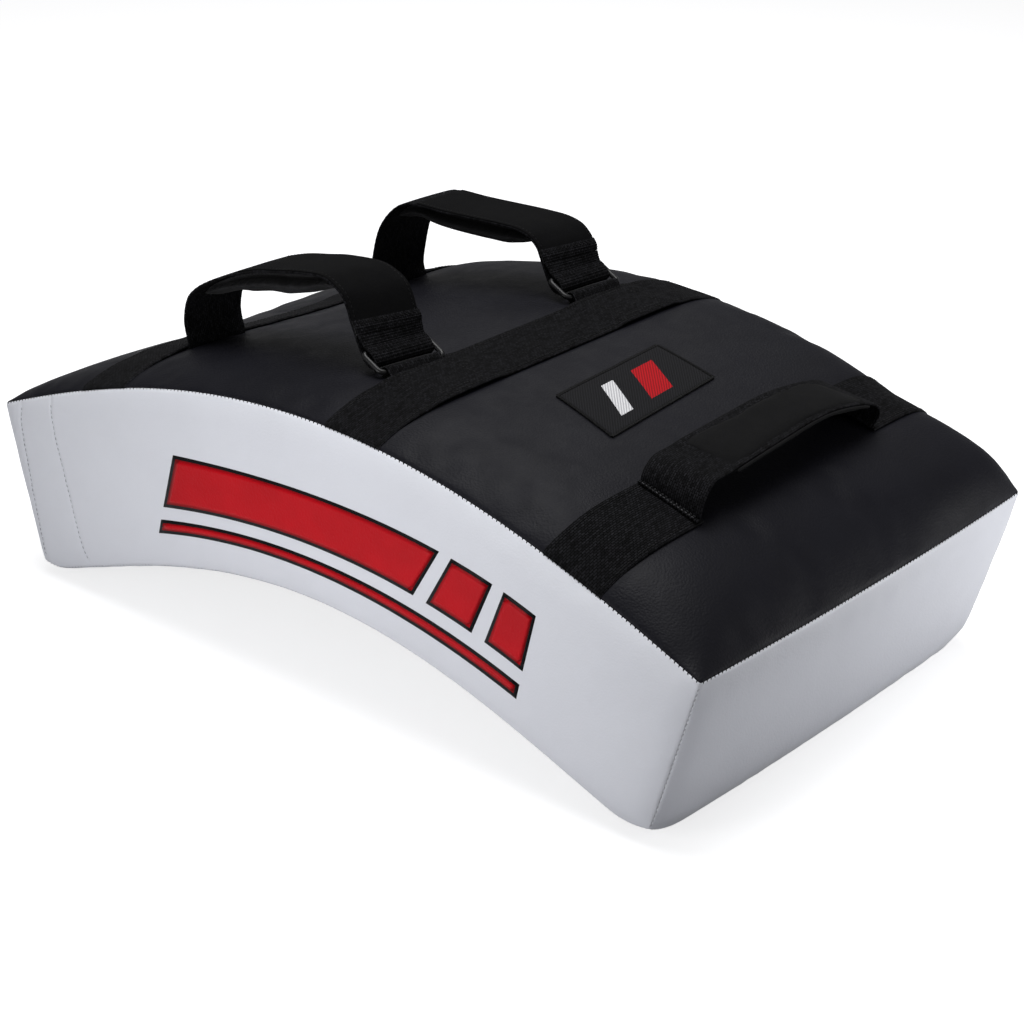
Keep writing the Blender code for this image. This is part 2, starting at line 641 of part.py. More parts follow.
def leaning(y, height, across_grip):
    """Point of the grip: it follows the back at its feet and leans over more the higher it stands"""
    u, v = from_arc(RIGHT_BAND_AT), from_width(y)
    base = back_point(u, v)
    level = back_point(u, from_width(GRIP_SHIFT))
    share = min(1, max(0, height - ON_BAND) / (GRIP_RISE - ON_BAND))
    base.z += (level.z - base.z) * share
    along = (back_point(u + SLOPE_SHARE, v) - back_point(u - SLOPE_SHARE, v)).normalized()
    turn = Matrix.Rotation(-GRIP_LEAN * share, 3, "Y")
    out = Vector((-along.z, 0, along.x))
    return base + turn @ (along * across_grip + out * height)


def grip_layer(name, start, end, thickness, shift, cells, finish):
    """A layer of the grip between two shares of its line, moved outwards by shift"""
    line = part_of(grip_line(), start, end)
    low, high = beside(line, shift - thickness / 2), beside(line, shift + thickness / 2)
    count = len(line) - 1

    def place(a, b, c):
        k = round(a * count)
        y, height = (low, high)[round(c)][k]
        return leaning(y, height, (b - 0.5) * WEBBING_WIDTH)
    return block(name, place, (count, cells), finish)


grip = grip_layer("hand_grip", 0, 1, STRAP, 0, 2, "webbing")
grip_pad = grip_layer("hand_grip_pad", GRIP_PAD_FROM, 1 - GRIP_PAD_FROM, GRIP_PAD,
                      -(STRAP + GRIP_PAD) / 2 - GAP, 2, "soft pad")
GRIP_BASE = back_point(from_arc(RIGHT_BAND_AT), from_width(GRIP_SHIFT))
carry(hinge_empty("hand_grip_axis", *GRIP_BASE), grip, grip_pad)


def patch_place(a, b, c):
    """Corners of the patch"""
    arc = PATCH_AT + (a - 0.5) * PATCH_LENGTH
    y = PATCH_SHIFT + (b - 0.5) * PATCH_WIDTH
    return over_back(from_arc(arc), from_width(y), GAP + PATCH * c)


block("patch", patch_place, (4, 6), "woven patch")
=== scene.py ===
# A curved strike shield, dressed: sewn cover, webbing, folded pads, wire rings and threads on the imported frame.
# Metres, +Z up. X runs along the shield and Y across it, as in the frame.
from math import acos, atan2, cos, hypot, pi, radians, sin

import bmesh
import bpy
import numpy as np
from mathutils import Matrix, Vector, noise
from mathutils.bvhtree import BVHTree


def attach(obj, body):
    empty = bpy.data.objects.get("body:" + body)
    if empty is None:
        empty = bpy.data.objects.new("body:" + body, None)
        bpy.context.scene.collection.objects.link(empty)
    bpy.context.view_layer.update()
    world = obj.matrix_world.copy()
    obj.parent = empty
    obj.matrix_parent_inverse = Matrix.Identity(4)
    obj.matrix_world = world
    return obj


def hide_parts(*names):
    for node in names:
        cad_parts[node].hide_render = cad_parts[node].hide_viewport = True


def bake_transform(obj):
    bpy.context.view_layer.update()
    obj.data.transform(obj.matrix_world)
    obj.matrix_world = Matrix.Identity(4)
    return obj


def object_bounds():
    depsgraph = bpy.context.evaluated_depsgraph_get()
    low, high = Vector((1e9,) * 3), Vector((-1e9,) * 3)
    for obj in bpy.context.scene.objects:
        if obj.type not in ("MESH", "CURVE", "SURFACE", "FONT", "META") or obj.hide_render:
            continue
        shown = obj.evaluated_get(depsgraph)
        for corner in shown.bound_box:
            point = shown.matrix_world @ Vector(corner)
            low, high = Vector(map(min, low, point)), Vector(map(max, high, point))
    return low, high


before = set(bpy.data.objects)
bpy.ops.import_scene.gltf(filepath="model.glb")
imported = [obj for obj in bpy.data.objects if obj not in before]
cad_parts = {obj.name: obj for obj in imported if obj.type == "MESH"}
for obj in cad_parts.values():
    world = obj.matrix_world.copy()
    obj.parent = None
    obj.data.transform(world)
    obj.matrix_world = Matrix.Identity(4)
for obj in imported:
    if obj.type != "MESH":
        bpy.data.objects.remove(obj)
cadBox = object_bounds()
scene = bpy.context.scene
print("frame loaded:", len(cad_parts), "nodes")

# Camera, at the place that the photograph was taken from

view = {"lens": 90.0, "sensor": 36.0, "place": (1.1050, -1.3022, 0.8744), "yaw": -39.97, "pitch": -25.08,
        "roll": 1.01}


def addObject(name, data):
    made = bpy.data.objects.new(name, data)
    scene.collection.objects.link(made)
    return made


def aimCamera():
    yaw, pitch, roll = (radians(view[key]) for key in ("yaw", "pitch", "roll"))
    ahead = Vector((sin(yaw) * cos(pitch), cos(yaw) * cos(pitch), sin(pitch)))
    right = ahead.cross(Vector((0, 0, 1))).normalized()
    up = right.cross(ahead)
    rightRolled = right * cos(roll) + up * sin(roll)
    upRolled = up * cos(roll) - right * sin(roll)
    camera = addObject("camera", bpy.data.cameras.new("camera"))
    camera.data.lens = view["lens"]
    camera.data.sensor_width = view["sensor"]
    camera.data.clip_start = 0.05
    turned = Matrix((rightRolled, upRolled, -ahead)).transposed().to_4x4()
    camera.matrix_world = Matrix.Translation(view["place"]) @ turned
    scene.camera = camera


aimCamera()

# Shape of the pad, as in the part's source

pad = {"backLength": 0.6735, "backRadius": 0.610, "backEndRadius": 4.20, "strikeLength": 0.5997,
       "strikeRadius": 0.457, "strikeEndRadius": -0.806, "depth": 0.1345, "width": 0.378, "backCrown": 0.0125,
       "backCrownRise": 0.020, "strikeCrown": 0.008, "endBow": 0.004, "crownPower": 8, "slope": 0.005,
       "leather": 0.0015, "gap": 0.0003, "leftCrown": (0.0068, 0.0048), "farFrom": -0.7,
       "fullFrom": 0.1, "fullRun": 0.6,
       "settle": [(-1, 0.0030), (-0.9, 0.0042), (-0.72, 0.0080), (-0.6, 0.0078), (-0.5, 0.0058), (-0.35, 0.0052),
                  (-0.2, 0.0043), (-0.07, 0.0022), (0.05, 0.0005), (0.12, 0)],
       "fuller": [(-1, 16), (-0.85, 9), (-0.72, 2), (-0.6, 0), (0.02, 0), (0.10, -3), (0.20, 0), (0.30, 4), (0.48, 6),
                  (0.66, 0), (0.8, 5), (0.9, 9), (1, 11)]}
halfWidth = pad["width"] / 2
halfLength = pad["backLength"] / 2
lineSteps = 220


# Line that bends less and less from its middle to its ends: shares of its half length, X and Z
def bentLine(length, radius, endRadius):
    half = length / 2
    arc = np.linspace(-1.1 * half, 1.1 * half, 2 * lineSteps + 1)
    heading = -(arc / radius + (1 / endRadius - 1 / radius) * arc**3 / (3 * half**2))
    step = arc[1] - arc[0]
    x = np.cumsum(np.cos(heading)) * step
    z = np.cumsum(np.sin(heading)) * step
    return arc / half, x - x[lineSteps], z - z[lineSteps]


backLine = bentLine(pad["backLength"], pad["backRadius"], pad["backEndRadius"])
strikeLine = bentLine(pad["strikeLength"], pad["strikeRadius"], pad["strikeEndRadius"])
strikeHeight = -float(np.interp(1, strikeLine[0], strikeLine[2]))
backHeight = strikeHeight + pad["depth"]


def seamPoint(line, height, u):
    x = np.interp(u, line[0], line[1]) - pad["endBow"] / 2
    return np.stack([x, np.zeros_like(x), height + np.interp(u, line[0], line[2])], axis=-1)


def ease(t):
    t = np.clip(t, 0, 1)
    return t * t * (3 - 2 * t)


# Share of the crown; it is fuller at the left end and along the far edge right of the middle
def swelling(u, v, full=0.0):
    fuller = np.interp(u, *zip(*pad["fuller"])) * np.where(u < 0, 1, ease((v - pad["fullFrom"]) / pad["fullRun"]))
    power = pad["crownPower"] + full * fuller
    return np.clip(1 - np.abs(u) ** power, 0, 1) * np.clip(1 - np.abs(v) ** power, 0, 1)


def unit(vectors):
    return vectors / np.maximum(np.linalg.norm(vectors, axis=-1, keepdims=True), 1e-12)


# Directions at right angles to runs, in XZ and as points with a Y of 0
def squareTo(run):
    return np.stack([-run[..., 1], run[..., 0]], axis=-1)


def upperSide(run):
    return np.stack([-run[..., 2], np.zeros_like(run[..., 0]), run[..., 0]], axis=-1)


# share is 0 on the strike face and 1 on the back, whose far edge has sunk a little left of the middle
def flatPoint(u, v, share):
    u, v, share = np.broadcast_arrays(np.asarray(u, float), np.asarray(v, float), np.asarray(share, float))
    share = share * (1 - np.interp(u, *zip(*pad["settle"])) / pad["depth"] * ease(v - pad["farFrom"]))
    point = seamPoint(strikeLine, strikeHeight, u) * (1 - share[..., None])
    point = point + seamPoint(backLine, backHeight, u) * share[..., None]
    point[..., 0] += pad["endBow"] * (1 - v**2) * np.clip(u, 0, 2) ** pad["crownPower"]
    point[..., 1] = v * halfWidth
    return point


def seamRun(line, height, u):
    return unit(seamPoint(line, height, u + pad["slope"]) - seamPoint(line, height, u - pad["slope"]))


def backPoint(u, v):
    u, v = np.broadcast_arrays(np.asarray(u, float), np.asarray(v, float))
    left = pad["leftCrown"][0] + pad["leftCrown"][1] * ease(v - pad["farFrom"])
    crown = np.maximum(pad["backCrown"] + np.where(u > 0, pad["backCrownRise"], -left) * u**2, 0) * swelling(u, v, 1.0)
    return flatPoint(u, v, 1) + upperSide(seamRun(backLine, backHeight, u)) * crown[..., None]


def strikePoint(u, v):
    u, v = np.broadcast_arrays(np.asarray(u, float), np.asarray(v, float))
    down = -upperSide(seamRun(strikeLine, strikeHeight, u))
    return flatPoint(u, v, 0) + down * (pad["strikeCrown"] * swelling(u, v))[..., None]


def normalOf(surface, u, v):
    step = pad["slope"]
    return unit(np.cross(surface(u + step, v) - surface(u - step, v), surface(u, v + step) - surface(u, v - step)))


def overBack(u, v, lift):
    return backPoint(u, v) + normalOf(backPoint, u, v) * np.asarray(lift)[..., None]


# How far a sewn edge is pulled in, for points that far from a seam
seamRoll = {"depth": 0.0011, "reach": 0.0032, "slant": 0.7071}


def rollShare(distance):
    return np.clip(1 - distance / seamRoll["reach"], 0, 1) ** 2 * seamRoll["depth"]


# Pull of the seams round the back on a point of it, or on a band that is sewn into them
def backTuck(u, v):
    run = seamRun(backLine, backHeight, u)
    down = -upperSide(run)
    inward = np.stack([np.zeros_like(u), -np.sign(v), np.zeros_like(u)], axis=-1)
    side = rollShare((1 - np.abs(v)) * halfWidth)[..., None] * (down + inward) * seamRoll["slant"]
    end = rollShare((1 - np.abs(u)) * halfLength)[..., None] * (down - run * np.sign(u)[..., None])
    return side + end * seamRoll["slant"]


# Small helpers for meshes

def makeObject(name, points, faces, finish, uv=None, values=None):
    mesh = bpy.data.meshes.new(name)
    mesh.from_pydata(np.asarray(points).reshape(-1, 3).tolist(), [], faces)
    mesh.polygons.foreach_set("use_smooth", [True] * len(mesh.polygons))
    if uv is not None:
        corner = np.zeros(len(mesh.loops), int)
        mesh.loops.foreach_get("vertex_index", corner)
        mesh.uv_layers.new(name="UVMap").data.foreach_set("uv", np.asarray(uv)[corner].ravel())
    for label, array in (values or {}).items():
        layer = mesh.attributes.new(label, "FLOAT", "POINT")
        layer.data.foreach_set("value", np.asarray(array, np.float32).ravel())
    mesh.materials.append(finish)
    return addObject(name, mesh)


# Quads of a grid whose corner numbers are given
def gridFaces(numbers, flip=False):
    quads = np.stack([numbers[:-1, :-1], numbers[1:, :-1], numbers[1:, 1:], numbers[:-1, 1:]], axis=-1).reshape(-1, 4)
    return (quads[:, ::-1] if flip else quads).tolist()


# Lines along a cloth edge to edge, close together where the edge is round, and the share of the thickness there
def roundedLines(length, cells, radius):
    turn = np.array([0, 0.4, 0.8, 1.2, pi / 2])
    edge = radius * (1 - np.cos(turn))
    middle = np.linspace(radius, length - radius, cells + 1)[1:-1]
    lines = np.concatenate([edge, middle, (length - edge)[::-1]])
    shares = np.concatenate([np.sin(turn), np.ones(len(middle)), np.sin(turn)[::-1]])
    return lines, shares


# Closed skin between two grids of points that meet along their border. front faces where its a x b points
def skin(name, front, rear, finish, uv, values=None):
    count = front.shape[0] * front.shape[1]
    numbers = np.arange(count).reshape(front.shape[:2])
    under = numbers.copy()
    inner = (slice(1, -1), slice(1, -1))
    under[inner] = count + np.arange((front.shape[0] - 2) * (front.shape[1] - 2)).reshape(under[inner].shape)
    points = np.concatenate([front.reshape(-1, 3), rear[inner].reshape(-1, 3)])
    layout = np.concatenate([uv.reshape(-1, 2), uv[inner].reshape(-1, 2)])
    kept = {label: np.concatenate([array.ravel(), array[inner].ravel()]) for label, array in (values or {}).items()}
    return makeObject(name, points, gridFaces(numbers) + gridFaces(under, True), finish, layout, kept)


# A cloth of that length, width and thickness. place(s, b) gives its middle, s along from 0, b across from its middle.
# ribs are woven ridges across it: their pitch and height
def clothStrip(name, place, size, cells, finish, ribs=None):
    length, width, thickness = size
    along, alongShare = roundedLines(length, cells[0], thickness / 2)
    across, acrossShare = roundedLines(width, cells[1], thickness / 2)
    s, b = np.meshgrid(along, across - width / 2, indexing="ij")
    middle = place(s, b)
    out = unit(np.cross(np.gradient(middle, axis=0), np.gradient(middle, axis=1)))
    half = thickness / 2 * alongShare[:, None] * acrossShare[None, :]
    if ribs:
        half = half * (1 + ribs[1] / thickness * np.sin(2 * pi * s / ribs[0]))
    shift = out * half[..., None]
    return skin(name, middle + shift, middle - shift, finish, np.stack([s, b], axis=-1))


def smoothLine(points, steps=8):
    known = [np.array(p, float) for p in points]
    known = [2 * known[0] - known[1], *known, 2 * known[-1] - known[-2]]
    line = []
    for before, start, end, after in zip(known, known[1:], known[2:], known[3:]):
        for t in np.arange(steps) / steps:
            line.append(0.5 * (2 * start + (end - before) * t + (2 * before - 5 * start + 4 * end - after) * t**2
                               + (3 * start - before - 3 * end + after) * t**3))
    return np.array([*line, known[-2]])


def runOf(line):
    return np.concatenate([[0], np.cumsum(np.linalg.norm(np.diff(line, axis=0), axis=1))])


def beside(line, distance):
    return line + squareTo(unit(np.gradient(line, axis=0))) * distance


# A strip across Y that follows a line in XZ, with a slight cup across its width
def alongLine(line, middle, cup=0.0):
    run = runOf(line)
    side = unit(np.gradient(line, axis=0))

    def place(s, b):
        bow = cup * (1 - (b / (strap["width"] / 2)) ** 2)
        x = np.interp(s, run, line[:, 0]) - np.interp(s, run, side[:, 1]) * bow
        z = np.interp(s, run, line[:, 1]) + np.interp(s, run, side[:, 0]) * bow
        return np.stack([x, middle + b, z], axis=-1)
    return place, run[-1]


def coordinates(thing):
    found = np.zeros(len(thing.data.vertices) * 3)
    thing.data.vertices.foreach_get("co", found)
    return found.reshape(-1, 3)


def movePoints(thing, points):
    thing.data.vertices.foreach_set("co", points.ravel())


def evaluated(thing):
    return thing.evaluated_get(bpy.context.evaluated_depsgraph_get())

# Materials

def linear(colour):
    values = [int(colour[k:k + 2], 16) / 255 for k in (1, 3, 5)]
    return [v / 12.92 if v <= 0.04045 else ((v + 0.055) / 1.055) ** 2.4 for v in values] + [1.0]


# What a node gives first, or the output or value itself
def outputOf(given):
    return given.outputs[0] if isinstance(given, bpy.types.Node) else given


# Adds a node, a shader node where its kind says no more. Small keys are its settings, the others its inputs, which
# take a value, another node or an output of one
def addNode(tree, kind, given):
    node = tree.nodes.new(kind if kind.startswith(("Geometry", "Function", "NodeGroup")) else "ShaderNode" + kind)
    for key, value in given.items():
        value = outputOf(value)
        if key == "stops":
            ramp = node.color_ramp
            while len(ramp.elements) < len(value):
                ramp.elements.new(0.5)
            for element, (place, colour) in zip(ramp.elements, value):
                element.position = place
                element.color = linear(colour) if isinstance(colour, str) else (colour, colour, colour, 1)
        elif isinstance(key, str) and key[0].islower():
            setattr(node, key, value)
        elif isinstance(value, bpy.types.NodeSocket):
            tree.links.new(value, node.inputs[key])
        else:
            node.inputs[key].default_value = value
    return node


def startMaterial(name, roughness, **fixed):
    made = bpy.data.materials.new(name)
    made.use_nodes = True
    shader = made.node_tree.nodes["Principled BSDF"]
    shader.inputs["Roughness"].default_value = roughness
    for label, value in fixed.items():
        shader.inputs[label.replace("_", " ")].default_value = value
    return made, made.node_tree, shader


# Joins colour, roughness and a relief of so many metres to a shader
def join(tree, shader, colour, rough, height, relief, strength):
    bump = addNode(tree, "Bump", {"Height": height, "Distance": relief, "Strength": strength})
    for label, given in (("Base Color", colour), ("Roughness", rough), ("Normal", bump)):
        if given is not None:
            tree.links.new(outputOf(given), shader.inputs[label])


# Sum of two heights, each with its weight
def addHeights(tree, first, firstWeight, second, secondWeight):
    part = addNode(tree, "Math", {"operation": "MULTIPLY", 0: first, 1: firstWeight})
    return addNode(tree, "Math", {"operation": "MULTIPLY_ADD", 0: second, 1: secondWeight, 2: part})


# Polyurethane on a knitted backing, pressed with a fine pebble grain. The grain is 0.9 mm on the real one
# and is drawn at 1.5 mm so that it shows. Its pebbles catch small soft lights, and it scuffs along the seams
def syntheticLeather(name, base, deep, worn, roughness, grain, shine):
    made, tree, shader = startMaterial(name, roughness, IOR=1.48, Specular_IOR_Level=shine)
    place = addNode(tree, "TexCoord", {}).outputs["Object"]
    pebble = addNode(tree, "TexVoronoi", {"feature": "SMOOTH_F1", "Vector": place, "Scale": 1 / 0.0015,
                                          "Smoothness": 0.6})
    pores = addNode(tree, "TexNoise", {"Vector": place, "Scale": 1 / 0.0008, "Detail": 2.0})
    cloudy = addNode(tree, "TexNoise", {"Vector": place, "Scale": 1 / 0.07, "Detail": 4.0, "Roughness": 0.55})
    dents = addNode(tree, "TexNoise", {"Vector": place, "Scale": 1 / 0.022, "Detail": 3.0, "Distortion": 0.4})
    tone = addNode(tree, "ValToRGB", {"Fac": cloudy, "stops": [(0.3, deep), (0.68, base)]})
    seam = addNode(tree, "Attribute", {"attribute_name": "seam"}).outputs["Fac"]
    scuffs = addNode(tree, "TexNoise", {"Vector": place, "Scale": 1 / 0.004, "Detail": 4.0})
    patchy = addNode(tree, "Math", {"operation": "MULTIPLY", 0: scuffs, 1: seam})
    wear = addNode(tree, "MapRange", {"Value": patchy, "From Min": 0.25, "From Max": 0.75,
                                      "To Min": 0.0, "To Max": 0.5})
    colour = addNode(tree, "Mix", {"data_type": "RGBA", 0: wear, 6: tone, 7: linear(worn)})
    rough = addNode(tree, "MapRange", {"Value": dents, "From Min": 0.3, "From Max": 0.7,
                                       "To Min": roughness - 0.05, "To Max": roughness + 0.07})
    fine = addHeights(tree, pebble, 1.0, pores, 0.35)
    height = addHeights(tree, fine, grain, dents, 0.22)
    join(tree, shader, colour.outputs[2], rough, height, 0.0012, 0.55)
    return made


# Woven polyester webbing. Its weft ribs are 1.5 mm apart and its warp yarns 2 mm, as on the real strap
def wovenWebbing(name, light, dark, roughness, sheen):
    made, tree, shader = startMaterial(name, roughness, Specular_IOR_Level=0.04, Sheen_Weight=sheen,
                                       Sheen_Roughness=0.4)
    layout = addNode(tree, "TexCoord", {}).outputs["UV"]
    weave = addNode(tree, "TexBrick", {"offset": 0.5, "Vector": layout, "Scale": 1.0, "Color1": (1, 1, 1, 1),
                                       "Color2": (0.55, 0.55, 0.55, 1), "Mortar": (0, 0, 0, 1),
                                       "Mortar Size": 0.00032, "Mortar Smooth": 1.0, "Bias": 0.0,
                                       "Brick Width": 0.0030, "Row Height": 0.0016})
    fluff = addNode(tree, "TexNoise", {"Vector": layout, "Scale": 1 / 0.0011, "Detail": 3.0})
    streaks = addNode(tree, "Mapping", {"Vector": layout, "Scale": (40, 900, 1)})
    yarns = addNode(tree, "TexNoise", {"Vector": streaks, "Scale": 1.0, "Detail": 2.0})
    mixed = addHeights(tree, fluff, 0.6, yarns, 0.4)
    speck = addNode(tree, "Math", {"operation": "MULTIPLY", 0: mixed, 1: weave})
    tone = addNode(tree, "ValToRGB", {"Fac": speck, "stops": [(0.20, dark), (0.62, light)]})
    height = addHeights(tree, weave, 1.0, fluff, 0.3)
    join(tree, shader, tone, None, height, 0.0006, 0.8)
    return made


# Brushed loop tape and knitted covers: a short nap, drawn as 0.8 mm tufts, dull with a soft sheen. Where a mesh carries
# the fold attribute, its colour is darkened to near black: painted shade in a pad's furrow
def nappedCloth(name, light, dark, roughness, tuft, sheen, relief=0.0004):
    made, tree, shader = startMaterial(name, roughness, Specular_IOR_Level=0.06, Sheen_Weight=sheen,
                                       Sheen_Roughness=0.5)
    place = addNode(tree, "TexCoord", {}).outputs["Object"]
    nap = addNode(tree, "TexNoise", {"Vector": place, "Scale": 1 / tuft, "Detail": 4.0, "Roughness": 0.7})
    rubbed = addNode(tree, "TexNoise", {"Vector": place, "Scale": 1 / 0.012, "Detail": 3.0})
    mixed = addHeights(tree, nap, 0.6, rubbed, 0.4)
    tone = addNode(tree, "ValToRGB", {"Fac": mixed, "stops": [(0.35, dark), (0.65, light)]})
    # painted shade: the fold attribute mixes the colour towards near black in the furrows along a pad's sides
    fold = addNode(tree, "Attribute", {"attribute_name": "fold"}).outputs["Fac"]
    colour = addNode(tree, "Mix", {"data_type": "RGBA", 0: fold, 6: tone, 7: linear("#020202")}).outputs[2]
    join(tree, shader, colour, None, nap, relief, 0.7)
    return made


# Material of one texture: a ramp of two colours over its grain, and a relief that follows it
def grainy(name, roughness, shine, kind, texture, stops, relief, strength):
    made, tree, shader = startMaterial(name, roughness, Specular_IOR_Level=shine)
    place = addNode(tree, "TexCoord", {}).outputs["Object"]
    grain = next(given for given in addNode(tree, kind, {"Vector": place, **texture}).outputs if given.type == "VALUE")
    tone = addNode(tree, "ValToRGB", {"Fac": grain, "stops": stops})
    join(tree, shader, tone, None, grain, relief, strength)
    return made


# Hook tape: rows of stiff nylon hooks, 1.6 mm apart
def hookTape(name):
    made, tree, shader = startMaterial(name, 0.55, Specular_IOR_Level=0.4)
    place = addNode(tree, "TexCoord", {}).outputs["Object"]
    hooks = addNode(tree, "TexVoronoi", {"Vector": place, "Scale": 1 / 0.0016, "Randomness": 0.25})
    tone = addNode(tree, "ValToRGB", {"Fac": hooks, "stops": [(0.1, "#2b2b2d"), (0.6, "#060607")]})
    turned = addNode(tree, "Math", {"operation": "SUBTRACT", 0: 1.0, 1: hooks})
    join(tree, shader, tone, None, turned, 0.0008, 0.9)
    return made


# Steel wire in a black dipped coating: smooth, with faint runs and a hard glint
def dippedWire(name):
    made, tree, shader = startMaterial(name, 0.42, Specular_IOR_Level=0.3)
    place = addNode(tree, "TexCoord", {}).outputs["Object"]
    runs = addNode(tree, "TexNoise", {"Vector": place, "Scale": 1 / 0.006, "Detail": 2.0})
    tone = addNode(tree, "ValToRGB", {"Fac": runs, "stops": [(0.35, "#0b0b0c"), (0.7, "#19191b")]})
    rough = addNode(tree, "MapRange", {"Value": runs, "To Min": 0.30, "To Max": 0.46})
    join(tree, shader, tone, rough, runs, 0.0004, 0.35)
    return made


# Twisted polyester sewing thread: two plies with a turn every 1.2 mm, a little glossy
def sewingThread(name, light, dark):
    plies = {"bands_direction": "DIAGONAL", "Scale": 0.3 / 0.0012, "Distortion": 1.5}
    return grainy(name, 0.6, 0.15, "TexWave", plies, [(0.1, dark), (0.8, light)], 0.0002, 0.5)


# Cut foam: open cells of about 1 mm
def cutFoam(name, light, dark, cell):
    return grainy(name, 0.95, 0.1, "TexVoronoi", {"Scale": 1 / cell}, [(0.1, dark), (0.6, light)], 0.0008, 0.8)


# Screen-printed vinyl ink on leather: even colour, a shade glossier than the leather, with faint pinholes
def printedInk(name, light, dark):
    made, tree, shader = startMaterial(name, 0.45, Specular_IOR_Level=0.12)
    place = addNode(tree, "TexCoord", {}).outputs["Object"]
    cloudy = addNode(tree, "TexNoise", {"Vector": place, "Scale": 1 / 0.035, "Detail": 4.0})
    grain = addNode(tree, "TexVoronoi", {"feature": "SMOOTH_F1", "Vector": place, "Scale": 1 / 0.0015})
    tone = addNode(tree, "ValToRGB", {"Fac": cloudy, "stops": [(0.3, dark), (0.7, light)]})
    join(tree, shader, tone, None, grain, 0.0006, 0.3)
    return made


blackLeather = syntheticLeather("black polyurethane leather", "#121218", "#101015", "#26262b", 0.52, 0.30, 0.10)
whiteLeather = syntheticLeather("white polyurethane leather", "#d9dbe2", "#d6d8df", "#c6c7cb", 0.45, 0.16, 0.20)
webbing = wovenWebbing("black polyester webbing", "#262629", "#020202", 0.80, 0.01)
bandWebbing = wovenWebbing("black band webbing", "#242427", "#020202", 0.82, 0.01)
loopTape = nappedCloth("black brushed loop tape", "#0c0c0d", "#060607", 0.92, 0.0008, 0.01)
softCover = nappedCloth("black knitted pad cover", "#101011", "#09090a", 0.85, 0.0011, 0.02)
padCover = nappedCloth("black brushed nylon binding", "#2c2c2e", "#1c1c1d", 0.62, 0.0014, 0.03, 0.0002)
gripBinding = nappedCloth("black bias binding", "#151516", "#0d0d0e", 0.85, 0.0014, 0.01, 0.0002)
hookFace = hookTape("black hook tape")
wireCoat = dippedWire("black dipped wire")
blackThread = sewingThread("black polyester thread", "#09090a", "#040405")
charcoalThread = sewingThread("charcoal polyester thread", "#4a4a4c", "#242426")
whiteThread = sewingThread("white polyester thread", "#d2d2d4", "#9c9da2")
greyThread = sewingThread("grey polyester thread", "#b9babf", "#84858b")
denseFoam = cutFoam("charcoal dense foam", "#4d5055", "#2f3135", 0.0011)
softFoam = cutFoam("cream soft foam", "#d8cda0", "#a89a6a", 0.0014)
redInk = printedInk("red printed ink", "#bb0a18", "#ae0815")
blackInk = printedInk("black printed ink", "#1c1c1e", "#141416")
print("materials made")

# Cover: six panels whose borders are pinned while the cloth between them swells a little

panels = {
    "cover_back": {"place": lambda a, b: backPoint(a, b), "flat": lambda a, b: flatPoint(a, b, 1),
                   "size": (0.6735, 0.378), "finish": blackLeather, "node": "back_panel", "swell": 0.0014},
    "cover_strike": {"place": lambda a, b: strikePoint(a, -b), "flat": lambda a, b: flatPoint(a, -b, 0),
                     "size": (0.5997, 0.378), "finish": whiteLeather, "node": "strike_panel", "swell": 0.0030},
    "cover_near_side": {"place": lambda a, b: flatPoint(a, -1, (b + 1) / 2), "size": (0.64, 0.134),
                        "finish": whiteLeather, "node": "near_side_panel", "swell": 0.0012,
                        "pillow": (0.0048, 26, 5)},
    "cover_far_side": {"place": lambda a, b: flatPoint(-a, 1, (b + 1) / 2), "size": (0.64, 0.134),
                       "finish": whiteLeather, "node": "far_side_panel", "swell": 0.0012,
                       "pillow": (0.0048, 26, 5)},
    "cover_right_end": {"place": lambda a, b: flatPoint(1, a, (b + 1) / 2), "size": (0.378, 0.131),
                        "finish": whiteLeather, "node": "right_end_panel", "swell": 0.0015,
                        "pillow": (0.0056, 12, 5)},
    "cover_flap": {"place": lambda a, b: flatPoint(-1, -a, (b + 1) / 2), "size": (0.378, 0.131),
                   "finish": whiteLeather, "node": "end_flap", "swell": 0.0010,
                   "pillow": (0.0030, 14, 7)},
}
sewn = {"bands": (-0.2155, 0.0346, 0.2270), "bandHalf": 0.026, "simCell": 0.012, "cell": 0.0058,
        "pressure": 4.0, "frames": 18, "firmness": 12.0, "slack": 0.004, "step": 0.004}
longSides = {"cover_near_side": 1, "cover_far_side": -1}
rowLines = {"from": -0.975, "to": -0.70, "step": 0.0055, "least": 0.0015}
fade = {"shift": 0.006, "row": 0.003, "worn": 0.004}

# Rows of stitching at the left end of both long sides, in XZ from the back's seam down. rowLines are the finer lines
# of the mesh there, and fade gives how far from a seam swelling, row grooves and wear come up
sideRows = [((-0.3064, 0.1351), (-0.2863, 0.0089)), ((-0.2712, 0.1474), (-0.2370, 0.0235))]


def coarseLines(length):
    return np.linspace(-1, 1, max(9, int(length / sewn["simCell"])) + 1)


def fineLines(length):
    edge = np.array([0, 0.0007, 0.0014, 0.0022, 0.0032, 0.0050, 0.0080]) * 2 / length
    inside = np.linspace(-1 + 0.0125 * 2 / length, 1 - 0.0125 * 2 / length, int(length / sewn["cell"]))
    return np.concatenate([-1 + edge, inside, (1 - edge)[::-1]])


def normalsOf(grid):
    return unit(np.cross(np.gradient(grid, axis=0), np.gradient(grid, axis=1)))


# Weights that carry values from old lines to new ones on a smooth curve
def curveWeights(old, new):
    place = np.interp(new, old, np.arange(len(old)))
    first = np.clip(place.astype(int), 0, len(old) - 2)
    t = place - first
    shares = (-t / 2 + t**2 - t**3 / 2, 1 - 2.5 * t**2 + 1.5 * t**3, t / 2 + 2 * t**2 - 1.5 * t**3,
              -t**2 / 2 + t**3 / 2)
    weights = np.zeros((len(new), len(old)))
    for step, share in zip((-1, 0, 1, 2), shares):
        np.add.at(weights, (np.arange(len(new)), np.clip(first + step, 0, len(old) - 1)), share)
    return weights


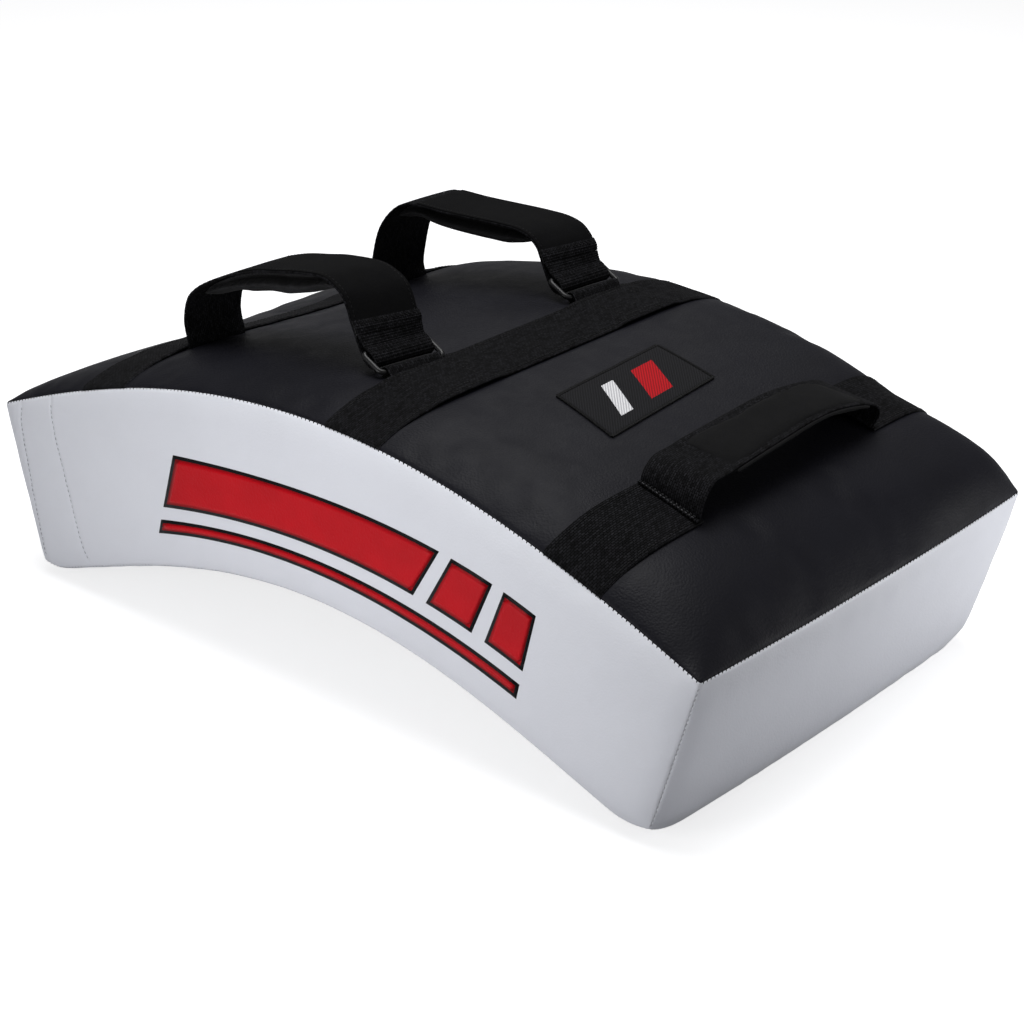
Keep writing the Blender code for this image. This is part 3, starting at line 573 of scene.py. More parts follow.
# Pull of the stuffed cover's corners: the thread draws each corner of the strike face in, and the edges curve to it
corners = {"reach": {-1: 0.024, 1: 0.034}, "depth": {-1: 0.0070, 1: 0.0100}}


def cornerPull(points, more=1.0):
    pulled = points.copy()
    for u in (-1, 1):
        for v in (-1, 1):
            corner, above = flatPoint(u, v, 0), flatPoint(u * 0.97, v * 0.985, 1)
            share = np.clip(1 - np.linalg.norm(points - corner, axis=-1) / (corners["reach"][u] * more), 0, 1) ** 2
            pulled = pulled + unit(above - corner) * (share * corners["depth"][u] * more)[..., None]
    return pulled


# Lets a cloth swell under pressure for some frames and gives how far each of its points moved
def swell(thing, held, pressure, frames, stiffness, slack):
    start = coordinates(thing)
    group = thing.vertex_groups.new(name="held")
    if len(held):
        group.add([int(k) for k in held], 1.0, "REPLACE")
    modifier = thing.modifiers.new("Cloth", "CLOTH")
    cloth = modifier.settings
    cloth.quality = 6
    cloth.mass = 0.3
    cloth.tension_stiffness = cloth.compression_stiffness = stiffness
    cloth.shear_stiffness = stiffness / 2
    cloth.bending_stiffness = 0.6
    cloth.shrink_min = -slack
    cloth.use_pressure = True
    cloth.uniform_pressure_force = pressure
    cloth.effector_weights.gravity = 0
    cloth.vertex_group_mass = "held" if len(held) else ""
    modifier.point_cache.frame_start = 1
    modifier.point_cache.frame_end = frames
    for number in range(1, frames + 1):
        scene.frame_set(number)
    shift = coordinates(evaluated(thing)) - start
    thing.modifiers.remove(modifier)
    scene.frame_set(1)
    return shift


def capped(shift, most):
    size = np.linalg.norm(shift, axis=-1, keepdims=True)
    return shift / np.maximum(size, 1e-9) * most * np.tanh(size / most)


# Swelling of all six panels on coarse lines, as one closed cover
def swellCover():
    numbers, points, faces = {}, [], []
    for name, panel in panels.items():
        a, b = np.meshgrid(*(coarseLines(length) for length in panel["lines"]), indexing="ij")
        grid = panel["place"](a, b)
        panel["coarse"] = grid
        index = np.zeros(a.shape, int)
        for k, point in enumerate(grid.reshape(-1, 3)):
            key = tuple(np.round(point, 5))
            if key not in numbers:
                numbers[key] = len(points)
                points.append(point)
            index.flat[k] = numbers[key]
        panel["index"] = index
        border = np.ones(a.shape, bool)
        border[1:-1, 1:-1] = False
        if name == "cover_back":
            for arc in sewn["bands"]:
                border |= np.abs(a * halfLength - arc) < sewn["bandHalf"]
        panel["held"] = index[border]
        faces += gridFaces(index)
    cover = makeObject("cover_trial", points, faces, whiteLeather)
    held = np.unique(np.concatenate([panel["held"] for panel in panels.values()]))
    moved = swell(cover, held, sewn["pressure"], sewn["frames"], sewn["firmness"], sewn["slack"])
    for panel in panels.values():
        shift = moved[panel["index"]]
        out = normalsOf(panel["coarse"])
        lift = np.sum(shift * out, axis=-1, keepdims=True)
        panel["shift"] = out * capped(lift, panel["swell"])
        print("  swelling", round(float(np.abs(lift).max()) * 1000, 2), "mm, kept to", panel["swell"] * 1000)
    bpy.data.objects.remove(cover)


# Small unevenness of the leather beside the seams, where the thread gathers it, and the grooves of the side rows
gather = {"large": 62, "small": 130, "smallShare": 0.6, "reach": 0.016, "clear": 0.004, "height": 0.0006}
groove = {"depth": 0.0008, "half": 0.0013}


def gathers(points, distance):
    places = [Vector(point) for point in points.reshape(-1, 3)]
    values = np.array([noise.noise(place * gather["large"])
                       + gather["smallShare"] * noise.noise(place * gather["small"]) for place in places])
    beside = np.exp(-distance / gather["reach"]) * np.clip(distance / gather["clear"], 0, 1)
    return values.reshape(distance.shape) * beside * gather["height"]


def rowGroove(points):
    depth = np.zeros(points.shape[:-1])
    for top, foot in sideRows:
        top, foot = np.array(top), np.array(foot)
        run = (foot - top) / np.linalg.norm(foot - top)
        off = points[..., [0, 2]] - top
        away = np.abs(off[..., 0] * run[1] - off[..., 1] * run[0])
        depth += groove["depth"] * np.exp(-(away / groove["half"]) ** 2)
    return depth


for name, panel in panels.items():
    panel["lines"] = (pad["backLength"] if panel["size"][0] > 0.5 else pad["width"],
                      pad["width"] if name in ("cover_back", "cover_strike") else panels["cover_near_side"]["size"][1])
swellCover()
surfaces = {}
for name, panel in panels.items():
    lines = [fineLines(length) for length in panel["lines"]]
    if name in longSides:
        extra = np.arange(rowLines["from"], rowLines["to"], rowLines["step"]) * longSides[name]
        lines[0] = np.unique(np.round(np.concatenate([lines[0], extra]), 5))
        lines[0] = lines[0][np.concatenate([[True], np.diff(lines[0]) > rowLines["least"]])]
        lines[0][-1] = 1
    a, b = np.meshgrid(*lines, indexing="ij")
    flat = panel.get("flat", panel["place"])
    grid = panel["place"](a, b)
    step = sewn["step"]
    alongA, alongB = flat(a + step, b) - flat(a - step, b), flat(a, b + step) - flat(a, b - step)
    scaleA, scaleB = (np.linalg.norm(d, axis=-1) / (2 * step) for d in (alongA, alongB))
    alongA, alongB = unit(alongA), unit(alongB)
    outward = unit(np.cross(alongA, alongB))
    farA, farB = (1 - np.abs(a)) * scaleA, (1 - np.abs(b)) * scaleB
    coarse = [coarseLines(length) for length in panel["lines"]]
    shift = np.einsum("ik,klc,jl->ijc", curveWeights(coarse[0], lines[0]), panel["shift"],
                      curveWeights(coarse[1], lines[1]))
    near = np.minimum(farA, farB)
    lift = gathers(grid, near)
    if "pillow" in panel:
        high, powerA, powerB = panel["pillow"]
        lift = lift + high * (1 - np.abs(a) ** powerA) * (1 - np.abs(b) ** powerB)
    if name in longSides:
        lift = lift - rowGroove(grid) * np.clip(farB / fade["row"], 0, 1)
    grid = grid + shift * np.clip(near / fade["shift"], 0, 1)[..., None] + outward * lift[..., None]
    for far, along, at in ((farA, alongA, a), (farB, alongB, b)):
        grid += rollShare(far)[..., None] * (-outward - along * np.sign(at)[..., None]) * seamRoll["slant"]
    grid = cornerPull(grid)
    rear = grid - normalsOf(grid) * pad["leather"]
    uv = np.stack([a * panel["size"][0] / 2, b * panel["size"][1] / 2], axis=-1)
    made = skin(name, grid, rear, panel["finish"], uv, {"seam": np.exp(-near / fade["worn"])})
    flatGrid = grid.reshape(-1, 3)
    numbers = np.arange(len(flatGrid)).reshape(a.shape)
    surfaces[name] = BVHTree.FromPolygons(flatGrid.tolist(), gridFaces(numbers))
    if name == "cover_flap":
        down = unit(flatPoint(-1.0, 0.0, 0) - flatPoint(-1.0, 0.0, 1))
        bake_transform(made)
    else:
        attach(made, "cover")
    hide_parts(panel["node"])
print("cover panels made")


# Height of the cover's back at a place, or None beside it
def backHeightAt(x, y):
    hit = surfaces["cover_back"].ray_cast(Vector((x, y, 0.5)), Vector((0, 0, -1)))[0]
    return None if hit is None else hit.z


# Foam core: the frame's layers, their loose triangles merged, pressed under the cover and pulled in at its corners
foam = {"merge": 0.00002, "corners": 1.35, "under": 0.0032}
for layer, finish in (("strike", denseFoam), ("middle", softFoam), ("back", denseFoam)):
    node = f"foam_{layer}_layer"
    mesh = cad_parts[node].data.copy()
    made = addObject(f"{layer}_foam", mesh)
    loose = bmesh.new()
    loose.from_mesh(mesh)
    bmesh.ops.remove_doubles(loose, verts=loose.verts[:], dist=foam["merge"])
    loose.to_mesh(mesh)
    loose.free()
    points = cornerPull(coordinates(made), foam["corners"])
    for point in points:
        height = backHeightAt(point[0], point[1])
        if height is not None:
            point[2] = min(point[2], height - foam["under"])
    movePoints(made, points)
    mesh.materials.clear()
    mesh.materials.append(finish)
    mesh.polygons.foreach_set("use_smooth", [False] * len(mesh.polygons))
    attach(made, "cover")
    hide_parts(node)

# The closure's tapes are shown as the frame has them
for sideName in ("near", "far"):
    for kind, finish in (("loop", loopTape), ("hook", hookFace)):
        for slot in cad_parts[f"{sideName}_closure_{kind}_tape"].material_slots:
            slot.material = finish

# Bands across the back

band = {"thickness": 0.0020, "width": 0.050, "offset": 0.0995, "reach": 0.0256, "ramp": 0.016, "sunk": 0.0014,
        "sinkFrom": 0.145, "sinkRun": 0.03,
        "left_band": (-0.2155, -1, 1, 0.0010), "middle_band": (0.0346, -1, 1, 0.0017),
        "right_band_near": (0.2270, -1, -0.094 / 0.189, 0.0), "right_band_far": (0.2270, 0.102 / 0.189, 1, 0.0)}


# A band's middle at that arc, from a share of the half width on, raised by over where a strap or keeper lies under it
def bandPlace(arc, start, over):
    def place(s, b):
        y = start * halfWidth + s
        u, v = (arc + b) / halfLength, y / halfWidth
        sunk = band["sunk"] * ease((np.abs(y) - band["sinkFrom"]) / band["sinkRun"])
        lift = pad["gap"] + band["thickness"] / 2 - sunk
        if over:
            lift = lift + over * ease(1 - (np.abs(np.abs(y) - band["offset"]) - band["reach"]) / band["ramp"])
        return overBack(u, v, lift) + backTuck(u, v)
    return place


for name in ("left_band", "middle_band", "right_band_near", "right_band_far"):
    arc, start, end, over = band[name]
    length = (end - start) * halfWidth
    made = clothStrip("woven_" + name, bandPlace(arc, start, over), (length, band["width"], band["thickness"]),
                      (int(length / 0.0025), 14), bandWebbing)
    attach(made, "cover")
    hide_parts(name)
print("bands made")

# Forearm straps: each rises from under the left band, arches over and goes down to its ring

strap = {"thickness": 0.0018, "width": 0.050, "legAt": -0.1884, "tongue": 0.044, "tape": 0.0006,
         "foot": (-0.19316, 0.19797), "legEnd": (-0.01851, 0.23020), "legUp": (-0.5150, 0.8572),
         "legOut": (0.8572, 0.5150), "upperBar": (-0.01533, 0.23211), "lowerBar": (0.00197, 0.22291),
         "turn": 0.0037, "stack": 0.0031, "cup": 0.0004,
         "tailStart": 0.0135, "tailLength": 0.0105, "tailThinned": 0.6, "footLift": 0.0032, "bow": 0.0026,
         "still": {-1: 0.0, 1: 0.40}, "peel": {-1: 0.46, 1: 0.32},
         "skew": {-1: (0.0070, 0.0030, 0.0155, 0.0085), 1: (0.0100, 0.0034, 0.0110, 0.0050)},
         "skewRuns": [(-0.192, 0.035), (-0.090, 0.052), (-0.002, 0.024), (0.009, 0.022), (-0.16, 0.06)],
         "ribs": (0.0021, 0.00050), "longRibs": (0.0056, 0.00016),
         "looseTurn": [(-0.0036, -0.0040), (-0.0020, -0.0085), (0.0012, -0.0110), (0.0046, -0.0105),
                       (0.0064, -0.0075), (0.0060, -0.0035), (0.0042, 0.0005), (0.0018, 0.0040)],
         "crown": {-1: [(-0.1950, 0.2050), (-0.1950, 0.2135), (-0.1925, 0.2240), (-0.1872, 0.2325), (-0.1735, 0.2428),
                        (-0.1485, 0.2552), (-0.1210, 0.2652), (-0.0968, 0.2706), (-0.0780, 0.2747), (-0.0565, 0.2772),
                        (-0.0440, 0.2733), (-0.0365, 0.2680), (-0.0320, 0.2600)],
                   1: [(-0.1930, 0.1930), (-0.1908, 0.2085), (-0.1868, 0.2250), (-0.1815, 0.2370), (-0.1725, 0.2488),
                       (-0.1625, 0.2563), (-0.1500, 0.2592), (-0.1230, 0.2598), (-0.0930, 0.2614), (-0.0670, 0.2629),
                       (-0.0505, 0.2630), (-0.0385, 0.2603), (-0.0315, 0.2552)]}}

legEnd, legUp, legOut, upperBar, lowerBar = (
    np.array(strap[key]) for key in ("legEnd", "legUp", "legOut", "upperBar", "lowerBar"))
bothSides = (("near", -1), ("far", 1))


# Place over the back under a strap, and the directions along and out of the back, in XZ
def strapFrame(arc, lift, side):
    u, edge = arc / halfLength, side * (band["offset"] - strap["width"] / 2) / halfWidth
    along = backPoint(u + pad["slope"], edge) - backPoint(u - pad["slope"], edge)
    along = unit(along[[0, 2]])
    out = squareTo(along)
    return backPoint(u, edge)[[0, 2]] + out * lift, along, out


# How far a right leg bows outwards at a height over its bar
def legBow(height):
    return strap["bow"] * ease((height + 0.002) / 0.034)


def strapLines(side):
    half = strap["thickness"] / 2
    tongue = [strapFrame(arc, pad["gap"] + half, side)[0]
              for arc in np.linspace(strap["legAt"] - strap["tongue"], strap["legAt"] - half, 7)]
    foot = strapFrame(strap["legAt"], strap["footLift"], side)[0]
    leg = [legEnd + legUp * height + legOut * legBow(height) for height in (0.024, 0.018, 0.012, 0.006, 0.0)]
    arch = smoothLine([foot, *strap["crown"][side], *leg])
    turn = smoothLine([legEnd, *[upperBar + legOut * across + legUp * height for across, height in strap["looseTurn"]],
                       upperBar + legOut * (strap["stack"] - strap["turn"] + legBow(strap["tailStart"]))
                       + legUp * (strap["tailStart"] - 0.0006)])
    return np.array([*tongue, *arch[1:], *turn[1:4]]), arch, turn[3:]


# Skew of a strap: its far edge stands further right than its near one, most of all at its right leg. Each of its runs
# has a start and a length: to the crown, to the leg, up from the turn, to the keeper, and where its near edge is freed
def twisted(points, side):
    x, y, z = points[..., 0], points[..., 1], points[..., 2]
    height = (x - upperBar[0]) * legUp[0] + (z - upperBar[1]) * legUp[1]
    left, crown, leg, turn = strap["skew"][side]
    toCrown, toLeg, toTurn, toKeeper, freed = (
        ease((at - start) / length) for at, (start, length) in zip((x, x, height, x, x), strap["skewRuns"]))
    amount = left + (crown - left) * toCrown + (leg - crown) * toLeg
    amount = (amount + (turn - leg) * (1 - toTurn)) * (1 - toKeeper)
    share = np.clip((y - side * band["offset"]) / strap["width"] + 0.5, -0.12, 1.12)
    turned = points.copy()
    turned[..., 0] += amount * (share - strap["still"][side] * (1 - freed))
    return turned


def twistPiece(made, side):
    movePoints(made, twisted(coordinates(made), side))


# Presses a strap's or keeper's tongue flat on the back, from one place in X to another
pressed = {"squeeze": 0.45, "most": 0.0019}


def pressTongue(made, start, end):
    points = coordinates(made)
    for point in points:
        share = float(ease((point[0] - start) / (end - start)))
        height = backHeightAt(point[0], point[1]) if share > 0 else None
        if height is not None:
            flat = height + pad["gap"] + (point[2] - height - pad["gap"]) * pressed["squeeze"]
            point[2] += share * (min(flat, height + pressed["most"]) - point[2])
    movePoints(made, points)


# Part of a line between two shares of its length
def partOf(line, start, end):
    run = runOf(line)
    run = run / run[-1]
    shares = np.array([start, *[s for s in run if start + 0.004 < s < end - 0.004], end])
    return np.stack([np.interp(shares, run, line[:, 0]), np.interp(shares, run, line[:, 1])], axis=1)


# Two points over a skewed tail's near corner at its root, on a line up the leg and towards -Y: the line along which a
# tail with a level hinge peels from its near corner while its far part stays on the loop
def tailBlend(side):
    out = strap["stack"] - strap["turn"] + legBow(strap["tailStart"])
    root = upperBar + legOut * out + legUp * strap["tailStart"]
    corner = np.array([root[0], side * band["offset"] - strap["width"] / 2, root[1]])
    lift = unit(np.array([legUp[0], -strap["peel"][side], legUp[1]]))
    return tuple(corner + lift * 0.0004), tuple(corner + lift * 0.0052)


# Direction at right angles to the line from a loop's foot to its ring, in XZ; the pads are laid out along it
chordUp = squareTo(unit(legEnd - np.array(strap["foot"])))

stitchSets = {}
for sideName, side in bothSides:
    middle = side * band["offset"]
    whole, arch, turn = strapLines(side)
    place, length = alongLine(whole, middle, strap["cup"])
    made = clothStrip(f"{sideName}_strap_webbing", place, (length, strap["width"], strap["thickness"]),
                      (int(length / 0.0011), 14), webbing, strap["longRibs"])
    twistPiece(made, side)
    pressTongue(made, -0.1990, -0.2050)
    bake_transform(made)
    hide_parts(f"{sideName}_arm_strap")
    place, length = alongLine(turn, middle, strap["cup"])
    made = clothStrip(f"{sideName}_turn_webbing", place, (length, strap["width"], strap["thickness"]),
                      (int(length / 0.0003), 14), webbing, strap["ribs"])
    twistPiece(made, side)
    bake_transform(made)

    archLength = runOf(arch)[-1]
    tapeLine = beside(partOf(arch, 0.40, 1 - strap["tailStart"] / archLength),
                      (strap["thickness"] + strap["tape"]) / 2 + 0.0002)
    place, length = alongLine(tapeLine, middle, strap["cup"])
    made = clothStrip(f"{sideName}_strap_nap_tape", place, (length, strap["width"] - 0.001, strap["tape"]),
                      (int(length / 0.003), 12), loopTape)
    twistPiece(made, side)
    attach(made, f"{sideName}_strap")
    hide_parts(f"{sideName}_strap_loop_tape")

    for name, thickness, shift, finish, slot, node in (
            ("tail_webbing", strap["thickness"], strap["stack"], webbing, "webbing", "strap_tail"),
            ("tail_hooks", strap["tape"], strap["stack"] - (strap["thickness"] + strap["tape"]) / 2 - 0.0002,
             hookFace, "hook_and_loop", "tail_hook_tape")):
        root = upperBar + legOut * (shift - strap["turn"]) + legUp * (strap["tailStart"] - 0.0004)
        line = np.array([root + legUp * h + legOut * legBow(strap["tailStart"] + h)
                         for h in np.linspace(0, strap["tailLength"], 12)])
        place, length = alongLine(line, middle, 0.0)
        ribs = strap["ribs"] if slot == "webbing" else None
        made = clothStrip(f"{sideName}_{name}", place, (length, strap["width"], thickness), (40, 14), finish, ribs)
        points = coordinates(made)
        rise = (points[:, [0, 2]] - upperBar) @ legUp - strap["tailStart"]
        outward = ((points[:, [0, 2]] - upperBar) @ legOut - legBow(rise + strap["tailStart"])
                   - (strap["thickness"] / 2 + strap["tape"] - strap["turn"]))
        thin = ease((rise - strap["tailLength"] * 0.3) / (strap["tailLength"] * 0.7)) * strap["tailThinned"]
        points[:, [0, 2]] -= legOut * (outward * thin)[:, None]
        movePoints(made, twisted(points, side))
        start, stop = tailBlend(side)
        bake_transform(made)
        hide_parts(f"{sideName}_{node}")
print("straps made")

# Folded pads under the crowns, swollen as cloth

softPad = {"start": {-1: -0.1840, 1: -0.1745}, "end": {-1: -0.0440, 1: -0.0400}, "width": 0.0505, "shrink": 0.0010,
           "below": 0.0012, "clear": 0.0006,
           "depth": {-1: [(0, 0.0062), (0.08, 0.0080), (0.24, 0.0096), (0.37, 0.0130), (0.62, 0.0152), (0.76, 0.0140),
                          (0.90, 0.0085), (1, 0.0030)],
                     1: [(0, 0.0055), (0.10, 0.0085), (0.30, 0.0120), (0.50, 0.0130), (0.80, 0.0140), (0.93, 0.0105),
                         (1, 0.0040)]},
           # fold: the furrow along each side of a pad, and shade, how strongly painted shade darkens its colour
           "fold": {"at": 0.36, "half": 0.0025, "deep": 0.0100, "reach": 0.013, "waves": 45, "wavy": 0.0010,
                    "thin": (0.004, 0.006), "shade": 1.2},
           "voxel": 0.0028, "pressure": 4.0, "frames": 18, "cap": 0.0016}
roughCells = (60, 21)


# Remeshes a rough closed form evenly, lets it swell as cloth and smooths it
def puffUp(name, rough, finish, settings):
    remesh = rough.modifiers.new("even", "REMESH")
    remesh.mode = "VOXEL"
    remesh.voxel_size = settings["voxel"]
    remesh.use_smooth_shade = True
    mesh = bpy.data.meshes.new_from_object(evaluated(rough))
    bpy.data.objects.remove(rough)
    mesh.name = name
    made = addObject(name, mesh)
    shift = swell(made, [], settings["pressure"], settings["frames"], 10.0, 0.01)
    movePoints(made, coordinates(made) + capped(shift, settings["cap"]))
    finer = made.modifiers.new("finer", "SUBSURF")
    finer.levels = finer.render_levels = 1
    smooth = bpy.data.meshes.new_from_object(evaluated(made))
    made.modifiers.clear()
    made.data = smooth
    smooth.materials.clear()
    smooth.materials.append(finish)
    smooth.polygons.foreach_set("use_smooth", [True] * len(smooth.polygons))
    return made


# Keeps points at least that far below a line in XZ, and moves none by more than most
def pressUnder(points, line, distance, most=0.01):
    segment = np.diff(line, axis=0)
    length2 = np.sum(segment**2, axis=1)
    flat = points[:, [0, 2]]
    off = flat[:, None] - line[None, :-1]
    t = np.clip(np.sum(off * segment, axis=2) / length2, 0, 1)
    gap = flat[:, None] - (line[None, :-1] + segment * t[..., None])
    best = np.argmin(np.sum(gap**2, axis=2), axis=1)
    rows = np.arange(len(points))
    normal = squareTo(unit(segment[best]))
    above = np.sum(gap[rows, best] * normal, axis=1)
    push = np.clip(above + distance, 0, most)
    points[:, [0, 2]] -= normal * push[:, None]
    return points


# Half a thickness that rounds off towards -1 and 1, sharply where the power is high
def rounding(share, power, least=0.0):
    return np.sqrt(np.clip(1 - np.abs(share) ** power, least, 1))


# Fold along both sides of a pad: a furrow under the strap, over the roll of the lower edge. Its darkness is painted
# shade, kept in the fold attribute that the cover's material darkens by
def foldIn(made, points, line, side, low, high):
    middle = side * band["offset"]
    fold = softPad["fold"]
    flat = points[:, [0, 2]]
    best = np.argmin(np.sum((flat[:, None] - line[None]) ** 2, axis=2), axis=1)
    below = np.linalg.norm(flat - line[best], axis=1)
    deep = np.interp((line[best, 0] - low) / (high - low), *zip(*softPad["depth"][side]))
    wavy = np.array([noise.noise(Vector((x * fold["waves"], middle, 0))) for x in points[:, 0]]) * fold["wavy"]
    furrow = np.exp(-((below - fold["at"] * deep - wavy) / fold["half"]) ** 2)
    furrow = furrow * np.clip((deep - fold["thin"][0]) / fold["thin"][1], 0, 1)
    off = points[:, 1] - middle
    edge = ease((np.abs(off) - (softPad["width"] / 2 - fold["reach"])) / fold["reach"])
    points[:, 1] -= np.sign(off) * furrow * edge * fold["deep"]
    # painted shade: the furrow's weight, stored as the fold attribute, darkens the cover's colour there
    shade = made.data.attributes.new("fold", "FLOAT", "POINT")
    shade.data.foreach_set("value", np.clip(furrow * edge * fold["shade"], 0, 1).astype(np.float32))
    return points


for sideName, side in bothSides:
    middle = side * band["offset"]
    arch = strapLines(side)[1]
    low, high = softPad["start"][side], softPad["end"][side]
    ends = np.interp((low, high), arch[8:, 0], runOf(arch)[8:] / runOf(arch)[-1])
    above = beside(partOf(arch, *ends), -(strap["thickness"] / 2 + softPad["below"]))
    run = runOf(above)
    above = np.stack([np.interp(np.linspace(0, run[-1], roughCells[0]), run, above[:, k]) for k in (0, 1)], axis=1)
    share, across = (np.linspace(-1, 1, count) for count in roughCells)
    depth = np.interp((share + 1) / 2, *zip(*softPad["depth"][side])) - softPad["shrink"]
    span = across * (softPad["width"] / 2 - softPad["shrink"])
    centre = above - chordUp * (depth / 2 + softPad["shrink"] / 2)[:, None]
    middleGrid = np.stack(np.broadcast_arrays(centre[:, :1], middle + span, centre[:, 1:]), axis=-1)
    half = (depth / 2 * rounding(share, 8))[:, None] * rounding(across, 4)
    shift = np.array([chordUp[0], 0, chordUp[1]]) * half[..., None]
    grid = np.stack(np.meshgrid(run[-1] * share, span, indexing="ij"), axis=-1)
    rough = skin(f"{sideName}_pad_rough", middleGrid + shift, middleGrid - shift, softCover, grid)
    made = puffUp(f"{sideName}_folded_pad", rough, padCover, softPad)
    points = pressUnder(coordinates(made), arch, strap["thickness"] / 2 + softPad["clear"])
    points = foldIn(made, points, beside(arch, -strap["thickness"] / 2), side, low, high)
    movePoints(made, twisted(points, side))
    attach(made, f"{sideName}_strap")
    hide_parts(f"{sideName}_strap_pad")
print("folded pads made")

# Wire rings and their keepers

ring = {"wire": 0.0040, "width": 0.0580, "depth": 0.0196, "corner": 0.0040, "tilt": radians(28), "sides": 18}
keeper = {"thickness": 0.0015, "width": 0.048, "run": 0.0050, "tongue": 0.044, "bend": 0.00305, "arc": 0.00385}


# Tube round a line, from its directions across and over each point, and the numbers of its corners
def tubeRound(line, across, over, radius, sides):
    angle = np.linspace(0, 2 * pi, sides, endpoint=False)[:, None]
    points = line[:, None] + radius * (across[:, None] * np.cos(angle) + over[:, None] * np.sin(angle))
    numbers = np.arange(len(line) * sides).reshape(len(line), sides)
    return points, np.hstack([numbers, numbers[:, :1]])


# Closed tube along a closed line
def wireLoop(name, line, radius, sides, finish):
    count = len(line)
    ahead = unit(np.roll(line, -1, axis=0) - np.roll(line, 1, axis=0))
    flat = unit(np.cross(line[count // 4] - line[0], line[count // 2] - line[0]))
    points, numbers = tubeRound(line, unit(np.cross(ahead, flat)), np.broadcast_to(flat, line.shape), radius, sides)
    made = makeObject(name, points, gridFaces(np.vstack([numbers, numbers[:1]])), finish)
    mesh = bmesh.new()
    mesh.from_mesh(made.data)
    bmesh.ops.recalc_face_normals(mesh, faces=mesh.faces[:])
    if mesh.calc_volume(signed=True) < 0:
        bmesh.ops.reverse_faces(mesh, faces=mesh.faces[:])
    mesh.to_mesh(made.data)
    mesh.free()
    return made


def ringLine(middle):
    half = (ring["width"] - ring["wire"]) / 2 - ring["corner"]
    deep = ring["depth"] - ring["corner"]
    corners = [(half, ring["corner"], -pi / 2), (half, deep, 0), (-half, deep, pi / 2), (-half, ring["corner"], pi)]
    line = []
    for k, (y, depth, start) in enumerate(corners):
        arc = [(y + ring["corner"] * cos(start + pi / 2 * t), depth + ring["corner"] * sin(start + pi / 2 * t))
               for t in np.linspace(0, 1, 9)]
        y2, depth2, start2 = corners[(k + 1) % 4]
        nextPoint = (y2 + ring["corner"] * cos(start2), depth2 + ring["corner"] * sin(start2))
        steps = 14 if k % 2 else 6
        line += arc + [tuple(np.array(arc[-1]) * (1 - t) + np.array(nextPoint) * t)
                       for t in np.linspace(0, 1, steps + 1)[1:-1]]
    line = np.array(line)
    x = lowerBar[0] - line[:, 1] * cos(ring["tilt"])
    z = lowerBar[1] + line[:, 1] * sin(ring["tilt"])
    return np.stack([x, middle + line[:, 0], z], axis=1)


def keeperLine(side):
    half, gap, bend = keeper["thickness"] / 2, pad["gap"], keeper["bend"]
    rear = keeper["arc"] + bend + keeper["tongue"]
    low = [strapFrame(arc, gap + half, side)[0] for arc in np.linspace(rear, keeper["arc"], 9)]
    along = strapFrame(keeper["arc"], 0, side)[1]
    slope = atan2(along[1], along[0])
    upper = gap + half + keeper["thickness"] + gap
    fall = upper - (gap + half + bend)
    leave = atan2(fall, keeper["run"]) + acos(bend / hypot(keeper["run"], fall))
    sweep = 3 * pi / 2 - leave
    fold = [lowerBar + bend * np.array([cos(slope - pi / 2 - sweep * k / 18), sin(slope - pi / 2 - sweep * k / 18)])
            for k in range(1, 19)]
    top = [strapFrame(arc, upper, side)[0] for arc in np.linspace(keeper["arc"] + keeper["run"], rear, 9)]
    return np.array([*low, *fold, *top])


for sideName, side in bothSides:
    middle = side * band["offset"]
    made = wireLoop(f"{sideName}_wire_loop", twisted(ringLine(middle), side), ring["wire"] / 2, ring["sides"], wireCoat)
    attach(made, f"{sideName}_wire_ring")
    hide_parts(f"{sideName}_ring")
    place, length = alongLine(keeperLine(side), middle)
    made = clothStrip(f"{sideName}_keeper_webbing", place, (length, keeper["width"], keeper["thickness"]),
                      (int(length / 0.0010), 14), webbing)
    twistPiece(made, side)
    pressTongue(made, 0.0085, 0.0160)
    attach(made, "cover")
    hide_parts(f"{sideName}_keeper")
print("rings and keepers made")

# Hand grip: webbing sewn down at both ends, with a padded sleeve round its middle

grip = {"ends": (-0.0985, 0.1000), "shift": 0.004, "rise": 0.0260, "lean": radians(15), "tongue": 0.0045,
        "thickness": 0.0018, "onBand": 0.0035, "arc": 0.2270, "sleeve": (-0.066, 0.100),
        "arch": [(-0.0990, 0.0085), (-0.0955, 0.0155), (-0.0860, 0.0212), (-0.0700, 0.0222), (-0.0450, 0.0238),
                 (-0.0100, 0.0256), (0.0250, 0.0272), (0.0480, 0.0266), (0.0720, 0.0236), (0.0930, 0.0192),
                 (0.1035, 0.0150), (0.1062, 0.0102), (0.1035, 0.0058)]}
sleeve = {"width": 0.0525, "over": 0.0014, "under": 0.0062, "shrink": 0.0008, "voxel": 0.0042, "pressure": 4.0,
          "frames": 18, "cap": 0.0016, "binding": 0.0011, "bindingCells": (90, 12)}


def gripLine():
    start, end = grip["ends"]
    arch = smoothLine([(start, grip["onBand"]), *grip["arch"], (end, grip["onBand"])])
    near = [(start - grip["tongue"] * k, grip["onBand"]) for k in (1, 0.75, 0.5, 0.3, 0.15)]
    far = [(end + grip["tongue"] * k, grip["onBand"]) for k in (0.15, 0.3, 0.5, 0.75, 1)]
    return np.array([*near, *arch, *far])


